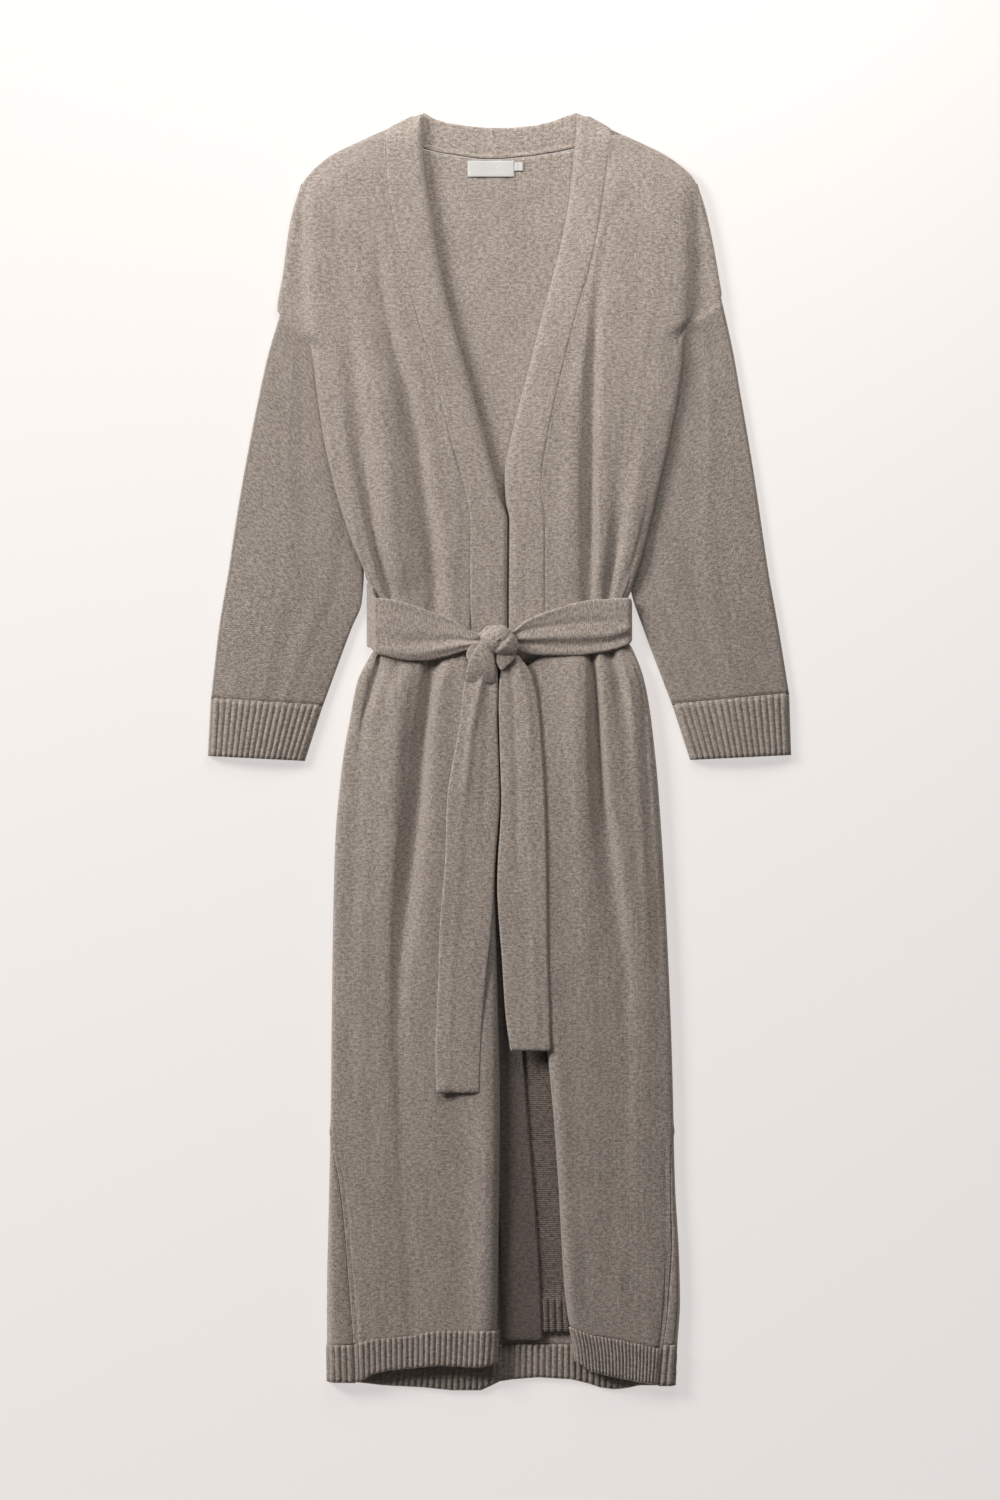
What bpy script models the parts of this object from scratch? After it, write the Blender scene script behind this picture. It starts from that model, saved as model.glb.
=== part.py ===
"""Belted long knit cardigan lying flat on its back, front up, as thin closed cloth walls.

Metres, +Z up. +X runs to the wearer's left, +Y towards the shoulders, and z = 0 is the surface that it
lies on. Lengths in the tables are in chart units: across grows to +X from 0 to 1000, down grows to -Y
from the top, and one unit is CHART_UNIT. Heights are in millimetres above the surface and belong to
the outer face of the cloth.
"""
import bpy
import numpy as np

# Driving dimensions
CHART_UNIT = 0.00098
MM = 0.001
CENTRE_ACROSS = 500.0
MIDDLE_DOWN = 751.5
CLOTH = 2.7
BELT_CLOTH = 2.4
LABEL_CLOTH = 0.8
SEAM_GAP = 0.35
RIM_RADIUS = 4.0
RIB_HEIGHT = 1.1
RIB_STEPS = 3
FRONT_RIBS = 27
BACK_RIBS = 54
CUFF_RIBS = 17
SLEEVE_EDGE = 2.95
SLEEVE_CROWN = 4.2
PLEAT_RIBS = 9
HEM_DEPTH = 38.0
RIM_DROP = 2.2
HEM_START_GAP = 0.9
WRAP_GAP = 2.1
LAY_GAP = 0.45

MATERIALS = {
    "knit": ((0.355, 0.300, 0.262), 0.92),
    "knit_rib": ((0.330, 0.278, 0.242), 0.92),
    "knit_belt": ((0.365, 0.310, 0.270), 0.9),
    "label_tape": ((0.78, 0.76, 0.72), 0.6),
}

# Side of each front: (down, edge across, foot height, top height)
RIGHT_SIDE = (
    (136, 373, 5.2, 9.0), (158, 328, 5.2, 10.0), (182, 304, 5.2, 10.5), (198, 297, 5.2, 10.0),
    (225, 290, 5.2, 9.5), (275, 283, 5.2, 9.0), (310, 277.5, 5.2, 8.9), (322, 286, 8.5, 8.9),
    (333, 296, 8.9, 9.1), (344, 309, 9.0, 9.6), (354, 312, 8.9, 15.5), (391, 317, 8.9, 17.0),
    (434, 323, 8.9, 17.0), (480, 333, 8.9, 17.0), (509, 341, 8.9, 17.0), (539, 351, 8.9, 17.0),
    (570, 364, 8.9, 16.0), (590, 371, 8.9, 13.6), (602, 375.5, 6.4, 12.0), (644, 376.5, 5.4, 11.6), (658, 369, 5.2, 12.0),
    (680, 358, 5.2, 14.0), (720, 350, 5.2, 13.0), (760, 343, 5.2, 12.5), (850, 335, 5.2, 12.0),
    (1000, 332, 5.2, 11.5), (1100, 331, 5.2, 11.5), (1200, 329, 5.2, 11.5), (1300, 327, 5.2, 11.5),
    (1400, 327, 5.2, 11.5),
)
LEFT_SIDE = (
    (136, 625, 5.2, 9.0), (158, 669, 5.2, 10.0), (180, 694, 5.2, 10.5), (199, 702, 5.2, 10.0),
    (221, 708, 5.2, 9.5), (279, 719, 5.2, 9.0), (297, 721.5, 5.2, 8.9), (305, 716, 8.5, 8.9),
    (316, 702, 8.9, 9.1), (330, 689, 9.0, 9.6), (340, 684, 8.9, 15.5), (367, 682, 8.9, 17.0),
    (410, 676, 8.9, 17.0), (449, 668, 8.9, 17.0), (480, 661, 8.9, 17.0), (506, 655, 8.9, 17.0),
    (535, 648, 8.9, 17.0), (562, 641, 8.9, 16.5), (591, 631, 8.9, 13.6), (602, 627, 6.4, 12.0),
    (638, 627, 5.4, 11.6), (650, 633, 5.2, 12.0), (676, 643, 5.2, 14.0), (705, 649, 5.2, 13.0),
    (745, 654, 5.2, 12.5), (786, 658, 5.2, 12.5), (980, 669, 5.2, 12.0), (1062, 672, 5.2, 11.5),
    (1184, 675, 5.2, 11.5), (1256, 679, 5.2, 11.5), (1300, 680, 5.2, 11.5), (1350, 677, 5.2, 11.5),
    (1400, 675, 5.2, 11.5),
)

# Side seams, where the back wraps round to the front: (down, units in from the side edge)
RIGHT_WRAP = ((100, 0.0), (1120, 0.0), (1150, 5.0), (1185, 12.0), (1282, 23.0), (1343, 28.0), (1400, 30.0))
LEFT_WRAP = ((100, 0.0), (1120, 0.0), (1150, 4.5), (1185, 6.0), (1240, 8.0), (1300, 13.0), (1343, 16.0), (1400, 19.0))

# Inner end of each front: (down, edge across, foot height, top height)
RIGHT_INNER = (
    (136, 385, 11.4, 11.4), (150, 386, 13.5, 13.5), (180, 387, 16.0, 16.3), (204, 390, 16.8, 17.0),
    (255, 402, 17.2, 17.5), (301, 413, 17.2, 17.5), (371, 433, 17.0, 17.3), (440, 451, 16.4, 16.7),
    (493, 465, 15.8, 16.0), (521, 470, 15.3, 15.6), (600, 470, 13.4, 13.8), (640, 470, 13.2, 13.6),
    (655, 473, 11.5, 14.5), (700, 487, 10.8, 17.0), (800, 492, 10.4, 19.0), (1000, 498, 10.0, 20.0),
    (1100, 500, 10.0, 20.0), (1300, 498, 10.0, 19.5), (1357, 497, 10.0, 17.0), (1400, 494, 10.0, 16.0),
)
LEFT_INNER = (
    (136, 611, 11.4, 11.4), (150, 609, 13.5, 13.5), (182, 605, 16.0, 16.3), (228, 598, 16.8, 17.0),
    (267, 590, 17.2, 17.5), (304, 579, 17.2, 17.5), (371, 562, 17.0, 17.3), (440, 547, 16.4, 16.7),
    (487, 541, 15.8, 16.0), (521, 545, 15.3, 15.6), (600, 545, 13.4, 13.8), (640, 545, 13.2, 13.6),
    (655, 541, 10.0, 14.5), (668, 526, 8.0, 15.5), (700, 527, 7.0, 17.0), (800, 533, 7.0, 19.0),
    (1000, 539, 7.0, 20.0), (1060, 548, 7.0, 20.0), (1180, 558, 7.0, 20.0), (1270, 563, 7.0, 19.5),
    (1328, 568, 7.0, 18.0), (1358, 574, 7.0, 16.0), (1400, 578, 7.0, 15.0),
)

# Folds of the front on the wearer's right, from the side inwards: (down, across, height)
RIGHT_FOLDS = {
    "gutter": (
        (136, 376, 9.3), (158, 338, 11.0), (190, 308, 11.5), (215, 301, 9.8), (250, 301, 8.9),
        (300, 302, 8.8), (335, 304, 8.8), (354, 322, 17.0), (391, 327, 17.6), (434, 333, 17.8),
        (480, 343, 17.8), (539, 359, 17.5), (588, 377, 15.0), (604, 381, 13.0), (648, 378, 12.0),
        (690, 366, 14.0), (760, 354, 13.2), (860, 346, 12.8), (1000, 343, 12.2), (1400, 339, 12.0),
    ),
    "lip": (
        (136, 377, 9.8), (158, 343, 12.0), (190, 313, 14.5), (215, 306, 15.0), (250, 307.5, 16.0),
        (300, 308.5, 16.5), (335, 312, 16.8), (354, 327, 18.0), (391, 334, 18.6), (434, 340, 18.6),
        (480, 350, 18.4), (539, 364, 17.8), (588, 379, 15.0), (604, 384, 13.2), (654, 380.5, 9.4),
        (694, 371, 11.0), (725, 362, 12.4), (760, 361, 13.5), (860, 355, 13.4), (1000, 352, 13.0),
        (1400, 350, 12.6),
    ),
    "shoulder_roll": (
        (136, 378.5, 10.0), (158, 348, 12.6), (190, 320, 16.2), (215, 314, 18.0), (250, 315, 19.0),
        (300, 316, 19.5), (335, 319, 19.5), (354, 334, 19.3), (391, 341, 19.6), (434, 347, 19.0),
        (480, 355, 18.4), (539, 367.5, 17.5), (588, 381, 14.6), (604, 387, 13.3), (660, 384, 13.8),
        (694, 379, 18.0), (725, 372, 17.4), (760, 369, 16.4), (860, 364, 15.6), (1000, 361, 14.8),
        (1400, 360, 13.6),
    ),
    "valley_outer": (
        (136, 380, 10.3), (190, 334, 17.4), (270, 341, 18.6), (330, 351, 17.4), (380, 356, 16.0),
        (440, 361, 14.0), (500, 369, 12.0), (540, 374, 10.8), (570, 382, 9.2), (597, 390, 8.6),
        (650, 391, 13.0), (694, 387, 19.4), (760, 380, 19.0), (860, 375, 17.6), (1000, 371, 15.8),
        (1400, 371, 14.2),
    ),
    "ridge": (
        (136, 381.5, 10.6), (190, 346, 18.0), (270, 353, 19.4), (330, 362, 20.4), (403, 372, 22.0),
        (473, 381, 22.6), (535, 387, 22.0), (570, 393, 19.5), (600, 400, 14.0), (661, 398, 13.8),
        (694, 396, 21.5), (760, 391, 22.0), (860, 386, 20.4), (1000, 382, 17.2), (1400, 384, 14.8),
    ),
    "valley_lip": (
        (136, 383, 10.9), (190, 358, 18.0), (255, 364, 18.8), (294, 369, 18.8), (342, 378, 18.6),
        (391, 391, 19.4), (439, 397, 19.8), (500, 404, 19.8), (560, 410, 18.5), (600, 413, 14.0),
        (650, 410, 13.8), (661, 409, 14.2), (674, 408, 18.2), (700, 405, 20.5), (750, 400, 21.4), (800, 397, 21.2),
        (850, 394, 20.6), (922, 391, 19.2), (984, 389, 17.6), (1045, 388, 16.6), (1400, 396, 15.0),
    ),
    "valley_step": (
        (136, 383.6, 11.0), (190, 366, 18.0), (255, 371, 18.2), (294, 376, 17.0), (342, 385, 16.0),
        (391, 398, 15.4), (439, 406, 15.0), (500, 415, 14.6), (560, 421, 14.2), (600, 424, 12.0),
        (650, 421, 11.5), (664, 420.5, 13.0), (700, 417, 13.6), (750, 410, 14.0), (800, 406, 14.4),
        (850, 402, 15.2), (922, 397, 15.6), (984, 394, 15.8), (1045, 393, 15.8), (1400, 404, 15.0),
    ),
    "valley_main": (
        (136, 384.2, 11.1), (190, 374, 18.0), (255, 379, 16.8), (294, 384, 14.4), (342, 393, 12.2),
        (391, 406, 9.6), (439, 416, 8.2), (500, 426, 7.6), (560, 433, 7.4), (600, 436, 7.4),
        (650, 433, 7.2), (664, 433, 7.0), (700, 428.5, 7.0), (750, 423, 7.0), (800, 419, 7.6),
        (850, 414, 9.2), (922, 406, 11.8), (984, 400, 14.0), (1045, 398, 15.0), (1400, 412, 15.0),
    ),
    "valley_crest": (
        (136, 384.5, 11.2), (190, 379, 17.6), (255, 388, 18.6), (294, 394, 18.6), (342, 403, 18.4),
        (391, 417, 18.2), (439, 428, 17.8), (500, 438, 17.2), (560, 446, 16.4), (600, 449, 13.8),
        (650, 445, 13.8), (659, 444.5, 14.2), (674, 442, 19.2), (700, 437, 21.0), (750, 432, 21.8), (800, 430, 21.6),
        (850, 426, 21.2), (922, 418, 20.0), (984, 413, 18.4), (1045, 412, 17.6), (1400, 428, 15.6),
    ),
    "middle": (
        (136, 384.8, 11.3), (190, 383, 17.2), (255, 395, 18.0), (342, 415, 18.0), (439, 440, 17.2),
        (521, 455, 16.2), (600, 460, 13.8), (652, 458, 13.8), (668, 457, 17.0), (725, 455, 19.6),
        (800, 456, 20.2), (900, 456, 19.6), (1045, 458, 18.8), (1400, 462, 16.6),
    ),
}

# Folds of the front on the wearer's left, from the side inwards: (down, across, height)
LEFT_FOLDS = {
    "gutter": (
        (136, 622, 9.3), (158, 660, 11.0), (190, 690, 11.5), (215, 697, 9.4), (250, 697, 8.9),
        (300, 694, 8.8), (322, 691, 8.8), (341, 675, 17.0), (367, 673, 17.6), (410, 667, 17.8),
        (449, 659, 17.8), (480, 652, 17.8), (535, 640, 17.5), (591, 626, 14.4), (604, 623, 13.0),
        (650, 630, 12.0), (676, 637, 15.0), (705, 642, 14.0), (745, 646, 13.0), (980, 659, 12.6),
        (1400, 665, 12.0),
    ),
    "lip": (
        (136, 620.5, 9.8), (158, 655, 12.0), (190, 685, 14.5), (215, 687, 15.0), (250, 687, 16.0),
        (300, 685.5, 16.5), (322, 684, 16.8), (341, 669, 18.0), (367, 666, 18.6), (410, 660, 18.8),
        (449, 652, 19.2), (480, 645, 19.6), (520, 640, 20.0), (550, 632, 19.4), (591, 621, 14.4),
        (604, 618, 13.2), (650, 625, 13.0), (676, 631, 17.0), (705, 636, 17.0), (745, 640, 16.6),
        (980, 653, 14.4), (1400, 656, 12.8),
    ),
    "shoulder_roll": (
        (136, 619, 10.0), (158, 649, 12.6), (190, 678, 16.2), (215, 680, 18.0), (250, 680, 19.0),
        (300, 678, 19.5), (322, 676, 19.5), (341, 661, 19.3), (367, 656, 19.6), (410, 649, 20.2),
        (450, 641, 21.0), (500, 634, 21.6), (520, 630, 21.2), (550, 624, 19.6), (590, 616, 14.6),
        (604, 613.5, 13.6), (650, 617, 14.0), (676, 626, 18.2), (705, 631, 18.6), (745, 634, 18.8),
        (850, 643, 18.0), (980, 648, 15.8), (1400, 650, 13.4),
    ),
    "valley_outer": (
        (136, 617, 10.3), (190, 662, 17.4), (270, 663, 19.6), (367, 640, 19.6), (450, 626, 18.6),
        (500, 620, 17.0), (520, 618.5, 15.6), (550, 616, 12.8), (590, 609, 9.0), (604, 607.5, 8.6),
        (655, 611, 8.6), (664, 613.5, 10.0), (690, 621, 13.2), (720, 625.5, 16.0), (760, 628, 18.4),
        (850, 635, 18.8), (980, 643, 16.6), (1400, 645, 13.8),
    ),
    "ridge": (
        (136, 615.5, 10.6), (190, 642, 18.0), (270, 636, 19.8), (367, 618, 20.6), (450, 610, 21.0),
        (520, 606, 20.6), (550, 605, 19.2), (590, 602, 14.4), (604, 601, 13.8), (655, 603, 14.0),
        (676, 607, 18.6), (700, 609, 20.0), (750, 614, 20.6), (800, 618, 20.6), (850, 627, 20.2),
        (922, 634, 18.4), (980, 639, 17.0), (1400, 640, 14.2),
    ),
    "valley_crest": (
        (136, 614.5, 10.9), (190, 624, 18.0), (270, 610, 19.4), (300, 606, 19.4), (350, 602, 19.8),
        (390, 600, 20.2), (450, 598.5, 20.6), (520, 598, 20.6), (560, 598, 19.0), (600, 597, 13.8),
        (650, 598, 13.8), (664, 599, 17.0), (700, 602, 20.0), (750, 606, 20.8), (800, 610, 20.6),
        (850, 619, 19.8), (922, 628, 18.0), (980, 634, 16.6), (1163, 636, 15.8), (1400, 636, 14.6),
    ),
    "valley_main": (
        (136, 613.5, 11.0), (190, 614, 18.0), (270, 600, 17.6), (300, 597, 16.0), (350, 594, 13.4),
        (390, 593, 11.6), (450, 591, 9.2), (520, 590, 7.8), (600, 590, 7.4), (650, 591, 7.2),
        (664, 592.5, 7.0), (700, 595, 7.0), (750, 598, 7.2), (800, 602, 8.4), (850, 610, 10.8),
        (922, 618, 13.0), (980, 625, 14.4), (1163, 626, 14.8), (1400, 628, 14.4),
    ),
    "valley_lip": (
        (136, 612.7, 11.1), (190, 610, 17.6), (270, 594, 18.6), (300, 590, 18.6), (350, 584, 18.6),
        (390, 581, 18.6), (450, 578, 18.4), (520, 577, 17.6), (600, 577, 13.8), (650, 582, 13.8),
        (664, 585, 17.5), (700, 586, 20.2), (750, 586, 21.2), (800, 587, 21.2), (850, 590, 20.6),
        (922, 597, 19.2), (980, 604, 17.8), (1163, 608, 16.8), (1400, 612, 15.4),
    ),
    "middle": (
        (136, 612, 11.3), (190, 606.5, 17.2), (270, 591.5, 18.0), (350, 575, 18.0), (440, 560, 17.2),
        (521, 558, 16.2), (600, 559, 13.8), (650, 560, 13.8), (664, 558, 17.0), (725, 560, 19.6),
        (800, 564, 20.4), (922, 572, 19.8), (1045, 578, 19.2), (1163, 584, 18.6), (1400, 594, 16.0),
    ),
}

# Front bands: (down, seam across, seam height, edge across, edge top height, edge foot height)
RIGHT_BAND = (
    (117, 413, 6.0, 423.6, 9.0, 5.2), (123, 401, 6.2, 422.8, 11.0, 5.0), (130, 389, 6.5, 422.2, 12.0, 5.0),
    (136, 386, 11.4, 422.0, 12.5, 4.8), (150, 387, 13.5, 422.6, 13.0, 4.6), (181, 388, 16.0, 426, 13.5, 4.6),
    (220, 395, 16.9, 432, 13.5, 4.6), (264, 405, 17.2, 439, 13.5, 4.6), (301, 414, 17.2, 447, 13.5, 4.6),
    (371, 434, 17.0, 466, 13.5, 4.6), (440, 452, 16.4, 485, 13.5, 4.8), (472, 460.5, 16.0, 493, 13.5, 5.2),
    (500, 468, 15.6, 500.5, 13.5, 6.0), (521, 471, 15.3, 507.6, 13.5, 6.4), (560, 471, 14.4, 507.3, 13.2, 6.4),
    (600, 471, 13.4, 507, 12.2, 6.4), (636, 471, 12.0, 507, 11.0, 6.4), (655, 472, 9.2, 507.5, 9.2, 6.5),
    (700, 474, 9.2, 510, 9.2, 6.5), (1000, 484, 9.2, 519, 9.2, 6.5), (1055, 487, 9.2, 522, 9.2, 6.5),
    (1270, 503, 9.2, 538, 9.2, 6.5), (1339, 504, 9.2, 541, 9.2, 6.5),
)
LEFT_BAND = (
    (117, 588, 6.0, 576.4, 9.0, 5.2), (123, 598, 6.2, 576.4, 11.0, 5.0), (130, 609, 6.5, 576.0, 12.0, 5.0),
    (136, 610, 11.4, 575.6, 12.5, 4.8), (151, 608, 13.5, 574, 13.0, 4.6), (190, 603, 16.0, 570, 13.5, 4.6),
    (228, 597, 16.8, 564, 13.5, 4.6), (263, 590, 17.2, 556, 13.5, 4.6), (304, 578, 17.2, 545, 13.5, 4.6),
    (371, 561, 17.0, 528, 13.5, 4.6), (440, 546, 16.4, 510.5, 13.5, 4.8), (473, 541, 16.0, 504.5, 13.5, 5.2),
    (500, 542, 15.6, 505.5, 13.5, 6.0), (521, 544, 15.3, 509.0, 13.5, 6.4), (560, 544, 14.4, 508.7, 13.2, 6.4),
    (600, 544, 13.4, 508.5, 12.2, 6.4), (640, 544, 13.2, 508.5, 11.0, 6.4),
)

# Sleeves: (armhole to cuff share, outer across, outer down, inner across, inner down, crown share)
RIGHT_SLEEVE = (
    (0.00, 279, 318.6, 335, 365, 0.1), (0.16, 268, 356, 341, 414, 0.5), (0.28, 260, 392, 348, 452, 0.65),
    (0.56, 243, 480, 361, 535, 0.75), (0.68, 235, 528, 364, 572, 0.9), (0.78, 228, 575, 362, 602, 1.0),
    (0.87, 220, 622, 351, 630, 1.0), (1.00, 211, 699, 323, 706, 0.95),
)
LEFT_SLEEVE = (
    (0.00, 722.5, 304.2, 660, 352, 0.3), (0.16, 733, 352, 655, 402, 0.5), (0.28, 740, 392, 649, 440, 0.65),
    (0.56, 755, 482, 631, 524, 0.75), (0.68, 762, 530, 626, 564, 0.9), (0.78, 769, 576, 632, 596, 1.0),
    (0.87, 777, 620, 643, 628, 1.0), (1.00, 789, 694, 672, 705, 0.95),
)
RIGHT_CUFF = ((0.0, 210.85, 699.38, 322.8, 706.38, 0.95), (1.0, 208, 756, 305, 761, 0.9))
LEFT_CUFF = ((0.0, 789.15, 694.38, 672.2, 705.38, 0.95), (1.0, 791, 755, 690, 760, 0.9))

# Back: edge of the flat cloth at each side where it doesn't reach the side of a front: (down, across)
BACK_RIGHT_EDGE = (
    (184, 302), (198, 297), (225, 290), (275, 283), (308, 278), (316, 281), (333, 298), (344, 312),
    (365, 336.4), (414, 341.8), (452, 348.8), (535, 361.8), (572, 364.9), (578, 366), (600, 376), (640, 376),
)
BACK_LEFT_EDGE = (
    (184, 697), (199, 702), (221, 708), (275, 718), (296, 721), (302, 720), (316, 704), (330, 688),
    (352, 658.4), (402, 654.2), (440, 648.2), (524, 630.2), (564, 625.1), (578, 625.5), (600, 627), (640, 627),
)
# Top of the back between its side rims: (across, down)
BACK_TOP_LINE = (
    (317, 168), (343, 149.5), (374, 135), (401, 123.5), (424, 150), (441, 154), (460, 157), (480, 160),
    (502, 160), (533, 157), (558, 153), (576, 149), (599, 124.5), (622, 135), (650, 148.5), (684, 169),
)
NECK_FROM = 3
NECK_TO = 12
NECK_TOP = (
    (402, 122), (415, 117.5), (424, 114), (434, 120), (447, 124), (466, 127), (487, 129), (512, 129),
    (533, 127), (551, 123), (564, 118), (576, 114), (585, 117.5), (598, 123),
)

# Hem lines: (across, down)
RIGHT_HEM_TOP = ((320, 1350), (349, 1346), (369, 1339), (406, 1336), (431, 1331), (446, 1330), (505, 1330))
RIGHT_HEM_END = (
    (320, 1381), (329, 1381), (358, 1380), (366, 1376), (375, 1371), (389, 1368), (412, 1366),
    (440, 1363), (475, 1365), (490, 1363), (505, 1360),
)
LEFT_HEM_TOP = ((560, 1325), (572, 1327), (592, 1335), (617, 1339), (640, 1344), (655, 1348), (685, 1354))
LEFT_HEM_END = (
    (560, 1352), (569, 1354), (573, 1358), (591, 1369), (606, 1373), (635, 1379), (645, 1381),
    (675, 1384), (690, 1384),
)
BACK_HEM_TOP = ((300, 1345), (700, 1345))
BACK_HEM_END = (
    (300, 1380), (358, 1381), (384, 1384), (423, 1386), (452, 1389), (481, 1389), (490, 1385),
    (500, 1380), (513, 1378), (538, 1376), (555, 1377), (571, 1378), (588, 1382), (600, 1386),
    (614, 1388), (625, 1387), (640, 1384), (700, 1384),
)
HEM_BLEND_FROM = 1290.0

# Belt stretches: (across, top edge down, bottom edge down, height)
BELT_RIGHT = (
    (370.5, 600, 649, 7.0), (371.5, 599, 650, 13.0), (376, 598.5, 653, 16.6), (390, 600, 657, 17.6),
    (408, 604, 660.5, 17.8), (425, 610, 660.5, 18.0), (440, 615, 658, 18.4), (453, 620, 654.5, 19.2),
    (464, 627, 651, 20.6), (473, 632, 649, 22.0), (482, 634, 647, 22.6), (490, 635, 646, 22.6),
)
BELT_LEFT = (
    (632, 604, 640, 7.0), (631, 600, 642, 13.0), (627, 599, 644.5, 16.6), (610, 600, 650, 17.6),
    (592, 601, 653, 17.8), (577, 603.5, 655, 18.0), (560, 608, 655, 18.4), (547, 612, 655, 19.2),
    (534, 617, 654.5, 20.6), (524, 622, 653, 22.0), (517, 628, 650, 22.6), (509, 634, 648, 22.6),
)

# Knot: (share of its depth, half width across, half width down) in chart units round its centre
KNOT_CENTRE = (500.0, 641.0)
KNOT_FOOT = 23.9
KNOT_TOP = 36.0
KNOT_RINGS = (
    (0.0, 15.0, 11.0), (0.14, 17.5, 13.0), (0.4, 18.5, 14.0), (0.65, 17.0, 13.0), (0.88, 11.5, 9.5), (1.0, 4.0, 3.5),
)
KNOT_SIDES = 14
KNOT_TURN = 0.35

# Tails: (down, left across, right across, least height)
TAIL_LONG = (
    (657, 472, 492, 22.6), (664, 470, 496, 21.6), (676, 467, 497, 21.0), (690, 464, 497, 20.5),
    (720, 461, 496.5, 20.0), (760, 454, 498, 20.0), (800, 448, 499, 20.0), (861, 446, 494.5, 20.0),
    (922, 441, 491.5, 20.0), (984, 439, 485, 20.0), (1035, 437, 481, 20.0), (1070, 436.5, 480, 20.0),
    (1091, 437, 479, 20.0),
)
TAIL_SHORT = (
    (656, 502, 519, 22.6), (671, 501, 529, 21.5), (685, 500, 534, 21.0), (702, 499.5, 537, 21.0),
    (748, 500.5, 541, 21.5), (800, 502, 544, 21.8), (882, 498, 546, 21.8), (963, 503, 547, 21.8),
    (1010, 506, 549, 21.8), (1049, 511, 549.5, 21.8),
)

# Label: (left, top, right, bottom) in chart units
NECK_LABEL = (468.0, 161.5, 514.0, 177.0)
SIZE_TAB = (514.6, 163.0, 523.0, 171.0)

# Back pleat: (down, left across, right across)
BACK_PLEAT = ((1000, 512, 562), (1060, 514, 566), (1160, 517, 574), (1296, 522, 582), (1331, 522, 584))
PLEAT_RIB_FROM = 1296.0


def clear_scene():
    """Remove every object of the scene."""
    for item in list(bpy.data.objects):
        bpy.data.objects.remove(item, do_unlink=True)


def place(across, down, height):
    """Chart position and height in millimetres to metres."""
    x = (np.asarray(across, float) - CENTRE_ACROSS) * CHART_UNIT
    y = (MIDDLE_DOWN - np.asarray(down, float)) * CHART_UNIT
    z = np.asarray(height, float) * MM
    return np.stack(np.broadcast_arrays(x, y, z), axis=-1)


def along(table, column, at):
    """Value of one column of a table at positions in its first column, monotone cubic."""
    rows = np.asarray(table, float)
    x = rows[:, 0]
    v = rows[:, column]
    h = np.diff(x)
    d = np.diff(v) / h
    slope = np.zeros_like(v)
    for i in range(1, len(v) - 1):
        if d[i - 1] * d[i] > 0.0:
            w1 = 2.0 * h[i] + h[i - 1]
            w2 = h[i] + 2.0 * h[i - 1]
            slope[i] = (w1 + w2) / (w1 / d[i - 1] + w2 / d[i])
    slope[0] = d[0]
    slope[-1] = d[-1]
    at = np.clip(np.asarray(at, float), x[0], x[-1])
    k = np.clip(np.searchsorted(x, at, side="right") - 1, 0, len(h) - 1)
    t = (at - x[k]) / h[k]
    a = (1.0 + 2.0 * t) * (1.0 - t) ** 2 * v[k]
    b = t * (1.0 - t) ** 2 * h[k] * slope[k]
    c = t ** 2 * (3.0 - 2.0 * t) * v[k + 1]
    e = t ** 2 * (t - 1.0) * h[k] * slope[k + 1]
    return a + b + c + e


def smooth_line(points, steps):
    """Centripetal curve through section points, with a number of steps for each span."""
    p = np.asarray(points, float)
    ends = np.vstack([2.0 * p[0] - p[1], p, 2.0 * p[-1] - p[-2]])
    out = [p[0]]
    for i in range(len(p) - 1):
        a, b, c, d = ends[i], ends[i + 1], ends[i + 2], ends[i + 3]
        ta = 0.0
        tb = ta + max(np.linalg.norm(b - a), 1e-6) ** 0.5
        tc = tb + max(np.linalg.norm(c - b), 1e-6) ** 0.5
        td = tc + max(np.linalg.norm(d - c), 1e-6) ** 0.5
        count = steps if np.isscalar(steps) else steps[i]
        for j in range(1, count + 1):
            t = tb + (tc - tb) * j / count
            ab = (a * (tb - t) + b * (t - ta)) / (tb - ta)
            bc = (b * (tc - t) + c * (t - tb)) / (tc - tb)
            cd = (c * (td - t) + d * (t - tc)) / (td - tc)
            abc = (ab * (tc - t) + bc * (t - ta)) / (tc - ta)
            bcd = (bc * (td - t) + cd * (t - tb)) / (td - tb)
            out.append((abc * (tc - t) + bcd * (t - tb)) / (tc - tb))
    return np.array(out)


def evenly(line, count):
    """Resample a section line to count steps of even length."""
    scale = np.array([1.0, MM / CHART_UNIT])
    length = np.concatenate([[0.0], np.cumsum(np.linalg.norm(np.diff(line * scale, axis=0), axis=1))])
    want = np.linspace(0.0, length[-1], count + 1)
    return np.stack([np.interp(want, length, line[:, 0]), np.interp(want, length, line[:, 1])], axis=1)


def side_points(down, side_table, wrap_table, inward):
    """Rolled side of a front from its seam with the back to its flat top, as section points."""
    edge = along(side_table, 1, down)
    foot = along(side_table, 2, down)
    top = along(side_table, 3, down)
    wrap = along(wrap_table, 1, down)
    roll = 6.0
    starts = (0.0, 0.5, 2.0, roll)
    points = []
    for i, start in enumerate(starts):
        reach = max(start, wrap + i * 1.3)
        share = min(reach / roll, 1.0)
        rise = (1.0 - (1.0 - share) ** 2) ** 0.5
        points.append((edge + inward * reach, foot + (top - foot) * rise))
    return points


def front_section(down, side_table, wrap_table, folds, inner_table, inward):
    """Section line of a front at one station, from its side to its inner end."""
    points = side_points(down, side_table, wrap_table, inward)
    for rows in folds.values():
        points.append((along(rows, 1, down), along(rows, 2, down)))
    edge = along(inner_table, 1, down)
    foot = along(inner_table, 2, down)
    top = along(inner_table, 3, down)
    drop = top - foot
    reach = min(7.0, 0.5 * abs(edge - points[-1][0]))
    points.append((edge - inward * reach, top))
    points.append((edge - inward * reach * 0.25, top - 0.3 * drop))
    points.append((edge, foot))
    for i in range(1, len(points)):
        least = points[i - 1][0] + inward * 0.35
        if (points[i][0] - least) * inward < 0.0:
            points[i] = (least, points[i][1])
    return points


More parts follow.
